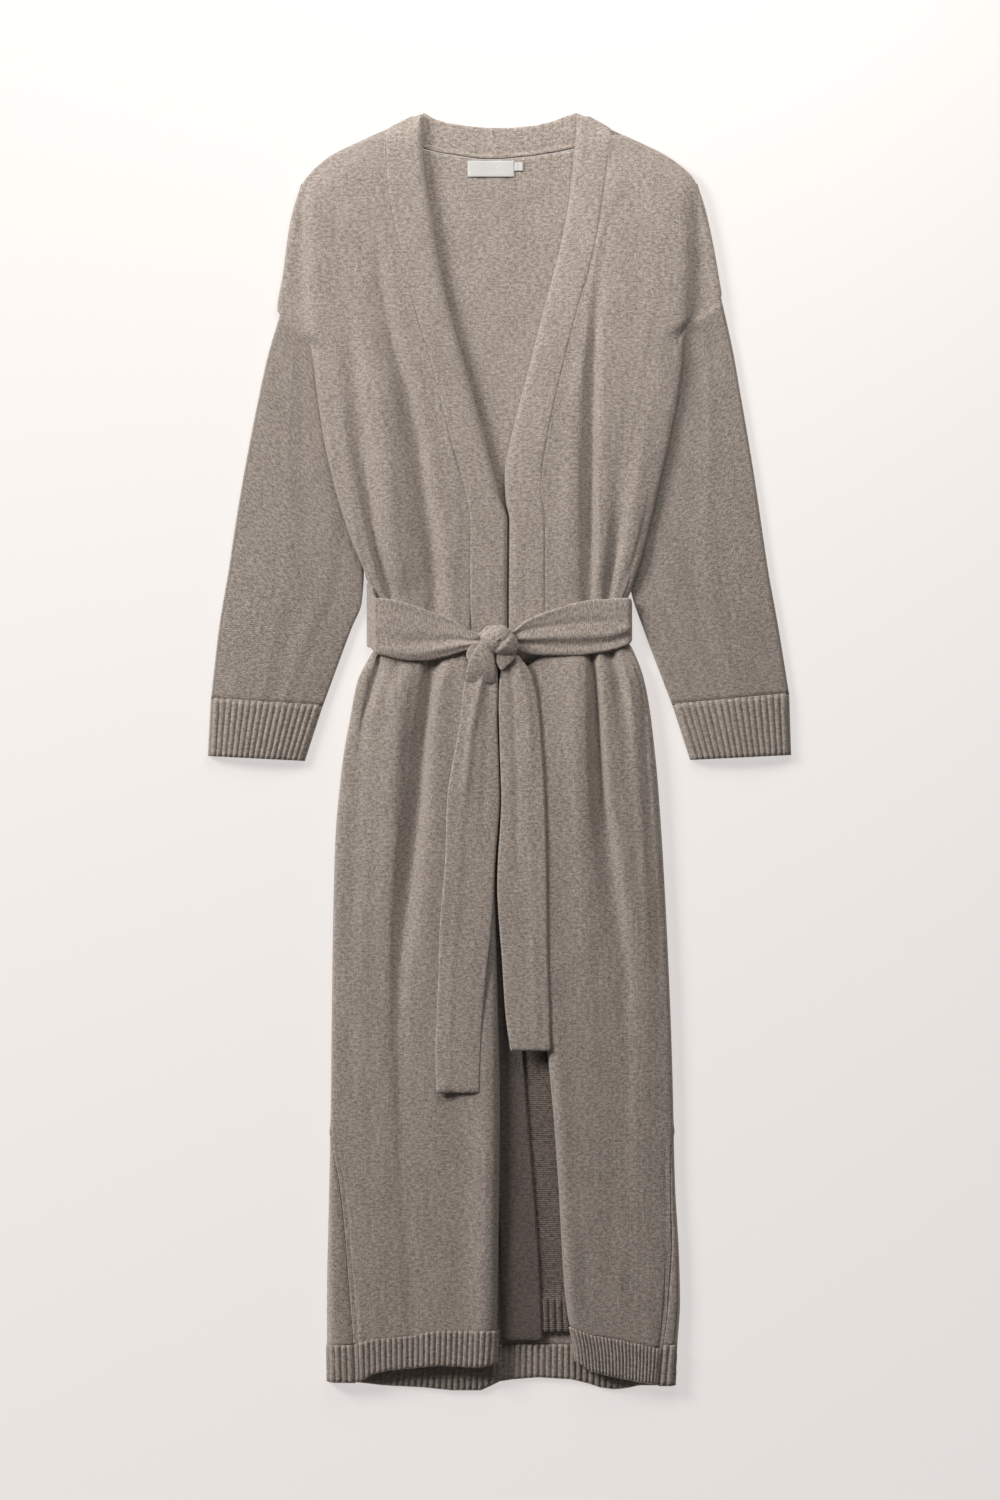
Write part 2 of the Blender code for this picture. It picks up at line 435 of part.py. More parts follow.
def hem_down(station, across, hem_top):
    """Down position of a panel's row: straight rows that end along the hem seam."""
    if station <= HEM_BLEND_FROM:
        return np.full_like(across, station)
    rows = np.asarray(hem_top, float)
    end = np.interp(across, rows[:, 0], rows[:, 1]) - SEAM_GAP * MM / CHART_UNIT
    share = (station - HEM_BLEND_FROM) / (np.mean(rows[:, 1]) - HEM_BLEND_FROM)
    return HEM_BLEND_FROM + (end - HEM_BLEND_FROM) * min(share, 1.0)


def wall_object(name, outer, thickness, material, lift_outer=None, lift_inner=None, flip=False):
    """Closed wall from a grid of outer points, offset inwards along its normals by the thickness."""
    rows, cols = outer.shape[:2]
    du = np.gradient(outer, axis=1)
    dv = np.gradient(outer, axis=0)
    normal = np.cross(du, dv)
    if flip:
        normal = -normal
    length = np.linalg.norm(normal, axis=2, keepdims=True)
    normal = normal / np.maximum(length, 1e-12)
    inner = outer - normal * thickness * MM
    if lift_outer is not None:
        outer = outer + normal * (lift_outer * MM)[..., None]
    if lift_inner is not None:
        inner = inner - normal * (lift_inner * MM)[..., None]
    points = np.concatenate([outer.reshape(-1, 3), inner.reshape(-1, 3)])
    base = rows * cols
    faces = []
    for i in range(rows - 1):
        for j in range(cols - 1):
            a = i * cols + j
            quad = (a, a + 1, a + cols + 1, a + cols)
            faces.append(quad)
            faces.append(tuple(base + k for k in reversed(quad)))
    for j in range(cols - 1):
        faces.append((j + 1, j, base + j, base + j + 1))
        k = (rows - 1) * cols + j
        faces.append((k, k + 1, base + k + 1, base + k))
    for i in range(rows - 1):
        k = i * cols
        faces.append((k, k + cols, base + k + cols, base + k))
        k = i * cols + cols - 1
        faces.append((k + cols, k, base + k, base + k + cols))
    return mesh_object(name, points, faces, material)


def tube_object(name, rings_out, rings_in, material):
    """Closed wall from matching rings of outer and inner points, open at both ends."""
    count, sides = rings_out.shape[:2]
    points = np.concatenate([rings_out.reshape(-1, 3), rings_in.reshape(-1, 3)])
    base = count * sides
    faces = []
    for i in range(count):
        for j in range(sides):
            a = i * sides + j
            b = i * sides + (j + 1) % sides
            if i < count - 1:
                faces.append((a, b, b + sides, a + sides))
                faces.append((base + a + sides, base + b + sides, base + b, base + a))
            if i == 0:
                faces.append((b, a, base + a, base + b))
            if i == count - 1:
                faces.append((a, b, base + b, base + a))
    return mesh_object(name, points, faces, material)


def mesh_object(name, points, faces, material):
    """Object with outward normals, smooth shading and its own material."""
    mesh = bpy.data.meshes.new(name)
    mesh.from_pydata([tuple(float(v) for v in p) for p in points], [], faces)
    mesh.update()
    if signed_volume(mesh) < 0.0:
        mesh.flip_normals()
    mesh.shade_smooth()
    mesh.set_sharp_from_angle(angle=0.9)
    item = bpy.data.objects.new(name, mesh)
    bpy.context.scene.collection.objects.link(item)
    mesh.materials.append(cloth_material(name, material))
    return item


def signed_volume(mesh):
    """Volume of a closed mesh, negative when its faces point in."""
    mesh.calc_loop_triangles()
    total = 0.0
    for tri in mesh.loop_triangles:
        a, b, c = (mesh.vertices[i].co for i in tri.vertices)
        total += a.dot(b.cross(c)) / 6.0
    return total


def cloth_material(name, slot):
    """Principled material of one piece."""
    colour, roughness = MATERIALS[slot]
    material = bpy.data.materials.new(name + "_" + slot)
    material.use_nodes = True
    shader = material.node_tree.nodes["Principled BSDF"]
    shader.inputs["Base Color"].default_value = (*colour, 1.0)
    shader.inputs["Roughness"].default_value = roughness
    shader.inputs["Metallic"].default_value = 0.0
    return material


def rib_lift(columns, height):
    """Raised height of each column of a ribbed strip, low between ribs."""
    lift = np.full(columns, height)
    lift[::RIB_STEPS] = 0.0
    return lift


# Stations that the fronts and the back share, so that their sides match, and the fronts' own at the top
BODY_STATIONS = (
    200, 250, 296, 310, 322, 336, 350, 366, 410, 460, 510, 550, 578, 600, 640, 656, 670, 700, 750, 815,
    880, 1000, 1120, 1150, 1185, 1240, 1290,
)
FRONT_STATIONS = (136, 150, 170, 184) + BODY_STATIONS + (1340,)
BACK_STATIONS = BODY_STATIONS + (1345,)


def build_front(name, rib_name, side_table, wrap_table, folds, inner_table, inward, hem_top, hem_end):
    """One front body with its folds, and its ribbed hem."""
    rows = []
    for station in FRONT_STATIONS:
        points = front_section(station, side_table, wrap_table, folds, inner_table, inward)
        line = smooth_line(points, 1)
        rows.append(place(line[:, 0], hem_down(station, line[:, 0], hem_top), line[:, 1]))
    wall_object(name, np.array(rows), CLOTH, "knit", flip=inward > 0)
    last = FRONT_STATIONS[-1]
    hem_rows = []
    top = np.asarray(hem_top, float)
    end = np.asarray(hem_end, float)
    for share in (0.0, 1.0):
        station = last + share * (np.mean(end[:, 1]) - last)
        points = front_section(station, side_table, wrap_table, folds, inner_table, inward)
        line = evenly(smooth_line(points, 3), FRONT_RIBS * RIB_STEPS)
        seam = np.interp(line[:, 0], top[:, 0], top[:, 1])
        close = np.interp(line[:, 0], end[:, 0], end[:, 1])
        hem_rows.append(place(line[:, 0], seam + HEM_START_GAP + (close - seam - HEM_START_GAP) * share, line[:, 1]))
    hem = np.array(hem_rows)
    lift = np.tile(rib_lift(hem.shape[1], RIB_HEIGHT), (hem.shape[0], 1))
    wall_object(rib_name, hem, CLOTH, "knit_rib", lift_outer=lift, flip=inward > 0)


def build_band(name, table, inward, stations):
    """Plain band from a front's seam to its rolled edge."""
    rows = []
    for down in stations:
        seam = along(table, 1, down)
        seam_height = along(table, 2, down)
        edge = along(table, 3, down)
        top = along(table, 4, down)
        foot = along(table, 5, down)
        width = edge - seam
        drop = top - foot
        if abs(drop) < CLOTH + 0.2:
            foot = top
            drop = 0.0
        roll = min(4.0, abs(width) * 0.3)
        points = (
            (seam, seam_height),
            (seam + 0.45 * width, seam_height + (top - seam_height) * 0.35),
            (edge - inward * roll, top),
            (edge - inward * roll * 0.25, top - 0.3 * drop),
            (edge, top - 0.95 * drop),
        )
        line = smooth_line(points, 1)
        rows.append(place(line[:, 0], down, line[:, 1]))
    wall_object(name, np.array(rows), CLOTH, "knit", flip=inward > 0)


def sleeve_ring(row, steps_top, steps_bottom, offset, rib_columns=None, ribs_height=0.0):
    """Ring of a flattened tube across one row, offset inwards by a wall thickness."""
    _, outer_across, outer_down, inner_across, inner_down, crown = row
    a = np.array([outer_across, outer_down], float)
    b = np.array([inner_across, inner_down], float)
    unit = (b - a) / np.linalg.norm(b - a)
    round_end = SLEEVE_EDGE * MM / CHART_UNIT
    start = a + unit * round_end
    stop = b - unit * round_end
    radius = SLEEVE_EDGE - offset
    points = []
    for j in range(steps_top + 1):
        t = j / steps_top
        swell = SLEEVE_CROWN * crown * (np.sin(np.pi * t) ** 0.8 if 0.0 < t < 1.0 else 0.0)
        height = SLEEVE_EDGE + radius + swell
        if rib_columns is not None:
            height += ribs_height * rib_columns[j]
        p = start + (stop - start) * t
        points.append((p[0], p[1], height))
    reach = radius * MM / CHART_UNIT
    points.append((stop[0] + unit[0] * reach, stop[1] + unit[1] * reach, SLEEVE_EDGE))
    for j in range(steps_bottom + 1):
        t = 1.0 - j / steps_bottom
        p = start + (stop - start) * t
        points.append((p[0], p[1], SLEEVE_EDGE - radius))
    points.append((start[0] - unit[0] * reach, start[1] - unit[1] * reach, SLEEVE_EDGE))
    ring = np.array(points)
    return place(ring[:, 0], ring[:, 1], ring[:, 2])


def build_sleeve(name, table):
    """Flattened sleeve from the armhole seam to the cuff seam."""
    outer = np.array([sleeve_ring(row, 12, 6, 0.0) for row in table])
    inner = np.array([sleeve_ring(row, 12, 6, CLOTH) for row in table])
    tube_object(name, outer, inner, "knit")


def build_cuff(name, table):
    """Ribbed cuff, raised on its upper side and plain on the side that it rests on."""
    steps = CUFF_RIBS * RIB_STEPS
    columns = rib_lift(steps + 1, 1.0)
    outer = np.array([sleeve_ring(row, steps, 6, 0.0, columns, RIB_HEIGHT) for row in table])
    inner = np.array([sleeve_ring(row, steps, 6, CLOTH) for row in table])
    tube_object(name, outer, inner, "knit_rib")


def back_edges(down):
    """Side edges of the back at one station, as across positions."""
    if down <= BACK_RIGHT_EDGE[-1][0]:
        right = along(BACK_RIGHT_EDGE, 1, down)
    else:
        right = along(RIGHT_SIDE, 1, down)
    if down <= BACK_LEFT_EDGE[-1][0]:
        left = along(BACK_LEFT_EDGE, 1, down)
    else:
        left = along(LEFT_SIDE, 1, down)
    return right, left


def wrap_points(down, edge, side_table, wrap_table, inward):
    """Upturned rim of the back, and its wrap to the front near the hem, from the end down to the rim."""
    wrap = along(wrap_table, 1, down)
    foot = along(side_table, 2, max(down, 700.0))
    top = along(side_table, 3, max(down, 700.0))
    roll = 6.0
    points = []
    for i in range(4):
        share = 1.0 - i / 4
        reach = wrap * share
        part = min(reach / roll, 1.0)
        rise = (1.0 - (1.0 - part) ** 2) ** 0.5
        lift = (foot - RIM_DROP) + 0.5 * share * (1.0 - min(wrap, 1.0)) + (RIM_DROP - 0.2) * min(wrap / 9.0, 1.0)
        points.append((edge + inward * (reach - WRAP_GAP * min(wrap, 1.0) * share), lift + (top - foot) * rise))
    points.append((edge, RIM_RADIUS * 0.58))
    points.append((edge + inward * 1.2, RIM_RADIUS * 0.22))
    points.append((edge + inward * RIM_RADIUS, 0.0))
    return points


def back_section(down, flat_steps):
    """Section of the back at one station, from one upturned end across the flat to the other."""
    right, left = back_edges(down)
    first = wrap_points(down, right, RIGHT_SIDE, RIGHT_WRAP, 1.0)
    last = wrap_points(down, left, LEFT_SIDE, LEFT_WRAP, -1.0)
    start = first[-1][0]
    stop = last[-1][0]
    flat = [(start + (stop - start) * j / flat_steps, 0.0) for j in range(1, flat_steps)]
    return np.array(first + flat + last[::-1]), len(first)


BACK_TOP_STATION = 200.0
BACK_TOP_SHARES = (0.0, 0.5)


def back_row(station, flat_steps):
    """Section of the back with its columns' across positions and heights, and its rim's column count."""
    line, rim = back_section(station, flat_steps)
    return line[:, 0], line[:, 1], rim


def build_back():
    """Back body lying flat, and its ribbed hem."""
    flat_steps = len(BACK_TOP_LINE) + 1
    top = np.asarray(BACK_TOP_LINE, float)
    rows = []
    across, height, rim = back_row(BACK_TOP_STATION, flat_steps)
    top_across = across + 5.0
    top_down = np.full(len(across), 184.0)
    top_across[-rim:] = across[-rim:] - 5.0
    top_across[rim:-rim] = top[:, 0]
    top_down[rim:-rim] = top[:, 1]
    for share in BACK_TOP_SHARES:
        x = top_across + (across - top_across) * share
        down = top_down + (BACK_TOP_STATION - top_down) * share
        rows.append(place(x, down, height))
    for station in BACK_STATIONS:
        across, height, rim = back_row(station, flat_steps)
        gap = SEAM_GAP if station == BACK_STATIONS[-1] else 0.0
        rows.append(place(across, np.full(len(across), station - gap), height))
    wall_object("back_panel", np.array(rows), CLOTH, "knit", flip=False)

    hem = np.asarray(BACK_HEM_TOP, float)
    end = np.asarray(BACK_HEM_END, float)
    ribs = BACK_RIBS * RIB_STEPS
    hem_rows = []
    lift_in = []
    for share in (0.0, 1.0):
        across, height, rim = back_row(BACK_STATIONS[-1] + share * HEM_DEPTH, ribs)
        close = np.interp(across, end[:, 0], end[:, 1])
        hem_rows.append(place(across, hem[0, 1] + (close - hem[0, 1]) * share, height))
        inside = np.zeros(len(across))
        inside[rim - 1:len(across) - rim + 1] = rib_lift(len(across) - 2 * rim + 2, RIB_HEIGHT)
        lift_in.append(inside)
    wall_object(
        "back_hem_rib", np.array(hem_rows), CLOTH, "knit_rib", lift_inner=np.array(lift_in), flip=False,
    )


def build_neck_band():
    """Stretch of the band round the back neck."""
    seam = np.asarray(BACK_TOP_LINE[NECK_FROM:NECK_TO + 1], float)
    top = np.asarray(NECK_TOP, float)
    upper = np.interp(seam[:, 0], top[:, 0], top[:, 1])
    lower = seam[:, 1] - SEAM_GAP * MM / CHART_UNIT * 1.6
    lower = np.maximum(lower, upper + 1.0)
    rows = []
    for share in (0.0, 0.5, 1.0):
        rows.append(place(seam[:, 0], upper + (lower - upper) * share, np.full(len(seam), CLOTH)))
    wall_object("back_neck_band", np.array(rows), CLOTH, "knit", flip=True)


def front_height(down, across):
    """Height of the fronts' outer face at one station over a range of across positions."""
    high = np.zeros_like(across)
    for args in (
        (RIGHT_SIDE, RIGHT_WRAP, RIGHT_FOLDS, RIGHT_INNER, 1.0),
        (LEFT_SIDE, LEFT_WRAP, LEFT_FOLDS, LEFT_INNER, -1.0),
    ):
        line = smooth_line(front_section(down, *args), 2)
        order = np.argsort(line[:, 0])
        z = np.interp(across, line[order, 0], line[order, 1], left=0.0, right=0.0)
        high = np.maximum(high, z)
    return high


def build_belt(name, table, inward):
    """One stretch of the tie belt over the fronts, from the side to the knot."""
    rows = []
    for across, top, bottom, height in table:
        down = np.linspace(top, bottom, 6)
        bow = np.array([0.0, 0.6, 0.8, 0.8, 0.6, 0.0])
        rows.append(place(np.full(6, across), down, height + bow))
    wall_object(name, np.array(rows), BELT_CLOTH, "knit_belt", flip=inward < 0)


def build_knot():
    """Soft round knot over the meeting ends of the belt."""
    rings = []
    for share, half_across, half_down in KNOT_RINGS:
        ring = []
        for j in range(KNOT_SIDES):
            turn = 2.0 * np.pi * j / KNOT_SIDES + KNOT_TURN
            bump = 1.0 + 0.06 * np.cos(3.0 * turn)
            ring.append((
                KNOT_CENTRE[0] + half_across * bump * np.cos(turn),
                KNOT_CENTRE[1] + half_down * bump * np.sin(turn),
                KNOT_FOOT + (KNOT_TOP - KNOT_FOOT) * share,
            ))
        ring = np.array(ring)
        rings.append(place(ring[:, 0], ring[:, 1], ring[:, 2]))
    points = np.concatenate(rings)
    faces = [tuple(reversed(range(KNOT_SIDES)))]
    for i in range(len(rings) - 1):
        for j in range(KNOT_SIDES):
            a = i * KNOT_SIDES + j
            b = i * KNOT_SIDES + (j + 1) % KNOT_SIDES
            faces.append((a, b, b + KNOT_SIDES, a + KNOT_SIDES))
    faces.append(tuple(range((len(rings) - 1) * KNOT_SIDES, len(rings) * KNOT_SIDES)))
    mesh_object("belt_knot", points, faces, "knit_belt")


def build_tail(name, table):
    """Hanging end of the belt, lying on the fronts along their points moved out."""
    rows = []
    stations = np.array([row[0] for row in table], float)
    for down in stations:
        left = along(table, 1, down)
        right = along(table, 2, down)
        least = along(table, 3, down)
        across = np.linspace(left, right, 7)
        under = np.zeros(7)
        for shift in (-8.0, -4.0, 0.0, 4.0, 8.0):
            under = np.maximum(under, front_height(down, across + shift))
        height = np.maximum(under + LAY_GAP + BELT_CLOTH, least)
        crown = np.array([0.0, 0.5, 0.7, 0.8, 0.7, 0.5, 0.0])
        rows.append(place(across, np.full(7, down), height + crown))
    wall_object(name, np.array(rows), BELT_CLOTH, "knit_belt", flip=True)


def build_plate(name, box, low, thickness):
    """Flat woven tape on the back's inside."""
    left, top, right, bottom = box
    across = np.array([left, right])
    rows = [place(across, np.full(2, d), np.full(2, low + thickness)) for d in (top, bottom)]
    wall_object(name, np.array(rows), thickness, "label_tape", flip=True)


def build_pleat():
    """Soft pleat of the back beside the front opening, with its own ribbed end."""
    rows = []
    lifts = []
    steps = PLEAT_RIBS * RIB_STEPS
    for down in (1000.0, 1160.0, PLEAT_RIB_FROM - 0.6, PLEAT_RIB_FROM, 1331.0):
        left = along(BACK_PLEAT, 1, down)
        right = along(BACK_PLEAT, 2, down)
        across = np.linspace(left, right, steps + 1)
        rows.append(place(across, np.full(steps + 1, down), np.full(steps + 1, 2.0 * CLOTH + LAY_GAP)))
        ribbed = down >= PLEAT_RIB_FROM
        lifts.append(rib_lift(steps + 1, RIB_HEIGHT if ribbed else 0.0) * 0.5)
    wall_object("back_pleat", np.array(rows), CLOTH, "knit_rib", lift_outer=np.array(lifts), flip=True)


def main():
    clear_scene()
    build_back()
    build_neck_band()
    build_pleat()
    build_plate("neck_label", NECK_LABEL, CLOTH + LAY_GAP, LABEL_CLOTH)
    build_plate("size_tab", SIZE_TAB, CLOTH + LAY_GAP, LABEL_CLOTH)
    build_sleeve("sleeve_right", RIGHT_SLEEVE)
    build_sleeve("sleeve_left", LEFT_SLEEVE)
    build_cuff("cuff_right", RIGHT_CUFF)
    build_cuff("cuff_left", LEFT_CUFF)
    build_front(
        "front_right_panel", "front_right_hem_rib", RIGHT_SIDE, RIGHT_WRAP, RIGHT_FOLDS, RIGHT_INNER, 1.0,
        RIGHT_HEM_TOP, RIGHT_HEM_END,
    )
    build_front(
        "front_left_panel", "front_left_hem_rib", LEFT_SIDE, LEFT_WRAP, LEFT_FOLDS, LEFT_INNER, -1.0,
        LEFT_HEM_TOP, LEFT_HEM_END,
    )
    build_band("front_right_band", RIGHT_BAND, 1.0, [row[0] for row in RIGHT_BAND])
    build_band("front_left_band", LEFT_BAND, -1.0, [row[0] for row in LEFT_BAND])
    build_belt("belt_right", BELT_RIGHT, 1.0)
    build_belt("belt_left", BELT_LEFT, -1.0)
    build_knot()
    build_tail("belt_tail_short", TAIL_SHORT)
    build_tail("belt_tail_long", TAIL_LONG)


main()
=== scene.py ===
"""Belted long knit cardigan lying flat: knit cloth, ribs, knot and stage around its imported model."""

import bpy
import numpy as np
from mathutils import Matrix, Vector


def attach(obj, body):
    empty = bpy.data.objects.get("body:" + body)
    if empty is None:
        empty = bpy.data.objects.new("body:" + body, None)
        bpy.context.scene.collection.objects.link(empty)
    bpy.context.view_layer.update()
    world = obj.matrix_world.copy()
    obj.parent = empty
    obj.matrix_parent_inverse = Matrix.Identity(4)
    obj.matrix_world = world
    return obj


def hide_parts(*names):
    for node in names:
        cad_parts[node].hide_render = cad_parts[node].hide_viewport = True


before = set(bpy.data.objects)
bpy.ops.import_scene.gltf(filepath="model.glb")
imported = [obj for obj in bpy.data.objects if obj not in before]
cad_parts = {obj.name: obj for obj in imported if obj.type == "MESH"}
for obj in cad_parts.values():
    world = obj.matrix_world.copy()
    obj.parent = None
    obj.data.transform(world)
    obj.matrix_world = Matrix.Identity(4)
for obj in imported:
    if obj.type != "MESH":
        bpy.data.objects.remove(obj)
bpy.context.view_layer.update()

bl_info = {
    "name": "Belted Knit Cardigan",
    "version": (1, 0, 0),
    "blender": (4, 5, 0),
    "location": "3D View > Sidebar > Cardigan",
    "description": "Makes the knit cloth, ribs, belt, knot, label and stage of a cardigan lying flat",
    "category": "Object",
}

# Sizes that the cloth shares with its solids. One chart unit is CHART_UNIT metres, across grows to +X,
# down grows to -Y, and heights are in millimetres above the surface, on the outer face of the cloth.
CHART_UNIT = 0.00098
MM = 0.001
CENTRE_ACROSS = 500.0
MIDDLE_DOWN = 751.5
# Thicknesses of the cloth, the belt's cloth and the label, in millimetres
CLOTH = 2.7
BELT_CLOTH = 2.4
LABEL_CLOTH = 0.8
# Gaps and drops between pieces: seams, the start of a hem, under a wrapped side, and under what lies on top
SEAM_GAP = 0.35
HEM_START_GAP = 0.9
WRAP_GAP = 2.1
LAY_GAP = 0.45
# Back: radius of its upturned rim, and how far the rim stays below the side of a front
RIM_RADIUS = 4.0
RIM_DROP = 2.2
HEM_DEPTH = 38.0
# Numbers of raised ribs
FRONT_RIBS = 27
BACK_RIBS = 54
CUFF_RIBS = 17
PLEAT_RIBS = 9
# Sleeves and cuffs: radius of their folded edges, and height of the crown between them
SLEEVE_EDGE = 2.95
SLEEVE_CROWN = 4.2

# How the sides and edges of the cloth roll, in chart units across
SIDE_ROLL = 6.0
ROLL_STARTS = (0.0, 0.5, 2.0, SIDE_ROLL)
WRAP_SPREAD = 1.3
WRAP_FULL = 9.0
WRAP_STEPS = 4
WRAP_HEIGHTS_FROM = 700.0
INNER_ROLL = 7.0
POINT_GAP = 0.35
RIM_TURN = ((0.0, 0.58), (1.2, 0.22))

# Down positions where something starts
ARMPIT_DOWN = 184.0
ARMPIT_INSET = 5.0
BACK_BODY_DOWN = 200.0
# Below this down position the front band's outer face wears painted shade
PAINTED_SHADE_DOWN = 668.0
HEM_SEAM_DOWN = 1345.0

# Sewing: how far a sleeve or cuff goes in under its neighbour and how far it sinks, in millimetres
ARMHOLE_TUCK = 5.5
CUFF_TUCK = 1.4
TUBE_SINK = 0.4
SHOULDER_LIFT = 2.6
SHOULDER_SHARE = 0.16
STITCH_SINK = 0.25
HEM_SINK = 0.5

# Ribs: grid steps for each rib, columns of the back hem and ribs on each of its wraps
RIB_STEPS = 8
BACK_HEM_COLUMNS = 640
WRAP_RIBS = 6

# Steps of the other grids
FRONT_STEPS = 6
SLEEVE_ROWS = 110
SLEEVE_STEPS = 90
UNDERSIDE_STEPS = 30
CUFF_ROWS = 16
BELT_ROWS = 90
BELT_COLUMNS = 34
TAIL_ROWS = 110
TAIL_COLUMNS = 30
BACK_STEPS = 96
BACK_HEM_STEPS = 40
NECK_COLUMNS = 100
PLEAT_PLAIN_ROWS = 40
PLEAT_RIB_ROWS = 12
KNOT_SIDES = 72
KNOT_LEVELS = 22
# Cloth of the knot's loose folds
FOLD_CLOTH = 1.8

# Uneven lie of the knit: lump sizes across and down, their shares, and the points over which it fades in
# from a front's two edges
LATTICE = 64
LONG_LUMPS = (13.0, 70.0)
SHORT_LUMPS = (7.0, 17.0)
LONG_LUMP_SHARE = 0.45
SHORT_LUMP_SHARE = 0.16
FADE_POINTS = (12.0, 8.0)
# Soft creases run on past their ends by this share of their length, and fade at this rate
CREASE_RUN_OUT = 0.25
CREASE_FADE = 2.5

# Front bands: pucker beside the seam and groove in it, heights in millimetres and places in units
BAND_ROW_STEP = 4
BAND_ROLL = 4.0
PUCKER_HEIGHT = 0.32
PUCKER_PLACE = 3.0
PUCKER_WIDTH = 2.6
GROOVE_DEPTH = 0.1
GROOVE_WIDTH = 1.5
BAND_TUCK = 1.8
BAND_SINK = 0.1

# Bow of the belt's cloth in millimetres, how far across its tails bridge the folds below them, and the
# points on each side over which their height is evened out
BELT_BOW = 0.9
TAIL_BRIDGES = (-8.0, -4.0, 0.0, 4.0, 8.0)
TAIL_EVEN = 4

# How far edges are rounded: none at a seam and nearly full at a free edge
FREE = 0.9
OPEN_FOOT = (0, FREE, FREE, FREE)
OPEN_ROUND = (FREE, FREE, FREE, FREE)

# Least upward part of the normal where the back hem's outer face is seen from above
FACES_UP = 0.4

# Side of each front: (down, edge across, foot height, top height)
RIGHT_SIDE = (
    (136, 373, 5.2, 9.0), (158, 328, 5.2, 10.0), (182, 304, 5.2, 10.5), (198, 297, 5.2, 10.0),
    (225, 290, 5.2, 9.5), (275, 283, 5.2, 9.0), (310, 277.5, 5.2, 8.9), (322, 286, 8.5, 8.9),
    (333, 296, 8.9, 9.1), (344, 309, 9.0, 9.6), (354, 312, 8.9, 15.5), (391, 317, 8.9, 17.0),
    (434, 323, 8.9, 17.0), (480, 333, 8.9, 17.0), (509, 341, 8.9, 17.0), (539, 351, 8.9, 17.0),
    (570, 364, 8.9, 16.0), (590, 371, 8.9, 13.6), (602, 375.5, 6.4, 12.0), (644, 376.5, 5.4, 11.6),
    (658, 369, 5.2, 12.0), (680, 358, 5.2, 14.0), (720, 350, 5.2, 13.0), (760, 343, 5.2, 12.5),
    (850, 335, 5.2, 12.0), (1000, 332, 5.2, 11.5), (1100, 331, 5.2, 11.5), (1200, 329, 5.2, 11.5),
    (1300, 327, 5.2, 11.5), (1400, 327, 5.2, 11.5),
)
LEFT_SIDE = (
    (136, 625, 5.2, 9.0), (158, 669, 5.2, 10.0), (180, 694, 5.2, 10.5), (199, 702, 5.2, 10.0),
    (221, 708, 5.2, 9.5), (279, 719, 5.2, 9.0), (297, 721.5, 5.2, 8.9), (305, 716, 8.5, 8.9),
    (316, 702, 8.9, 9.1), (330, 689, 9.0, 9.6), (340, 684, 8.9, 15.5), (367, 682, 8.9, 17.0),
    (410, 676, 8.9, 17.0), (449, 668, 8.9, 17.0), (480, 661, 8.9, 17.0), (506, 655, 8.9, 17.0),
    (535, 648, 8.9, 17.0), (562, 641, 8.9, 16.5), (591, 631, 8.9, 13.6), (602, 627, 6.4, 12.0),
    (638, 627, 5.4, 11.6), (650, 633, 5.2, 12.0), (676, 643, 5.2, 14.0), (705, 649, 5.2, 13.0),
    (745, 654, 5.2, 12.5), (786, 658, 5.2, 12.5), (980, 669, 5.2, 12.0), (1062, 672, 5.2, 11.5),
    (1184, 675, 5.2, 11.5), (1256, 679, 5.2, 11.5), (1300, 680, 5.2, 11.5), (1350, 677, 5.2, 11.5),
    (1400, 675, 5.2, 11.5),
)

# Side seams, where the back wraps round to the front: (down, units in from the side edge)
RIGHT_WRAP = ((100, 0.0), (1120, 0.0), (1150, 5.0), (1185, 12.0), (1282, 23.0), (1343, 28.0), (1400, 30.0))
LEFT_WRAP = (
    (100, 0.0), (1120, 0.0), (1150, 4.5), (1185, 6.0), (1240, 8.0), (1300, 13.0), (1343, 16.0),
    (1400, 19.0),
)

# Inner end of each front: (down, edge across, foot height, top height)
RIGHT_INNER = (
    (136, 385, 11.4, 11.4), (150, 386, 13.5, 13.5), (180, 387, 16.0, 16.3), (204, 390, 16.8, 17.0),
    (255, 402, 17.2, 17.5), (301, 413, 17.2, 17.5), (371, 433, 17.0, 17.3), (440, 451, 16.4, 16.7),
    (493, 465, 15.8, 16.0), (521, 470, 15.3, 15.6), (600, 470, 13.4, 13.8), (640, 470, 13.2, 13.6),
    (655, 473, 11.5, 14.5), (700, 487, 10.8, 17.0), (800, 492, 10.4, 19.0), (1000, 498, 10.0, 20.0),
    (1100, 500, 10.0, 20.0), (1300, 498, 10.0, 19.5), (1357, 497, 10.0, 17.0), (1400, 494, 10.0, 16.0),
)
LEFT_INNER = (
    (136, 611, 11.4, 11.4), (150, 609, 13.5, 13.5), (182, 605, 16.0, 16.3), (228, 598, 16.8, 17.0),
    (267, 590, 17.2, 17.5), (304, 579, 17.2, 17.5), (371, 562, 17.0, 17.3), (440, 547, 16.4, 16.7),
    (487, 541, 15.8, 16.0), (521, 545, 15.3, 15.6), (600, 545, 13.4, 13.8), (640, 545, 13.2, 13.6),
    (655, 541, 10.0, 14.5), (668, 526, 8.0, 15.5), (700, 527, 7.0, 17.0), (800, 533, 7.0, 19.0),
    (1000, 539, 7.0, 20.0), (1060, 548, 7.0, 20.0), (1180, 558, 7.0, 20.0), (1270, 563, 7.0, 19.5),
    (1328, 568, 7.0, 18.0), (1358, 574, 7.0, 16.0), (1400, 578, 7.0, 15.0),
)

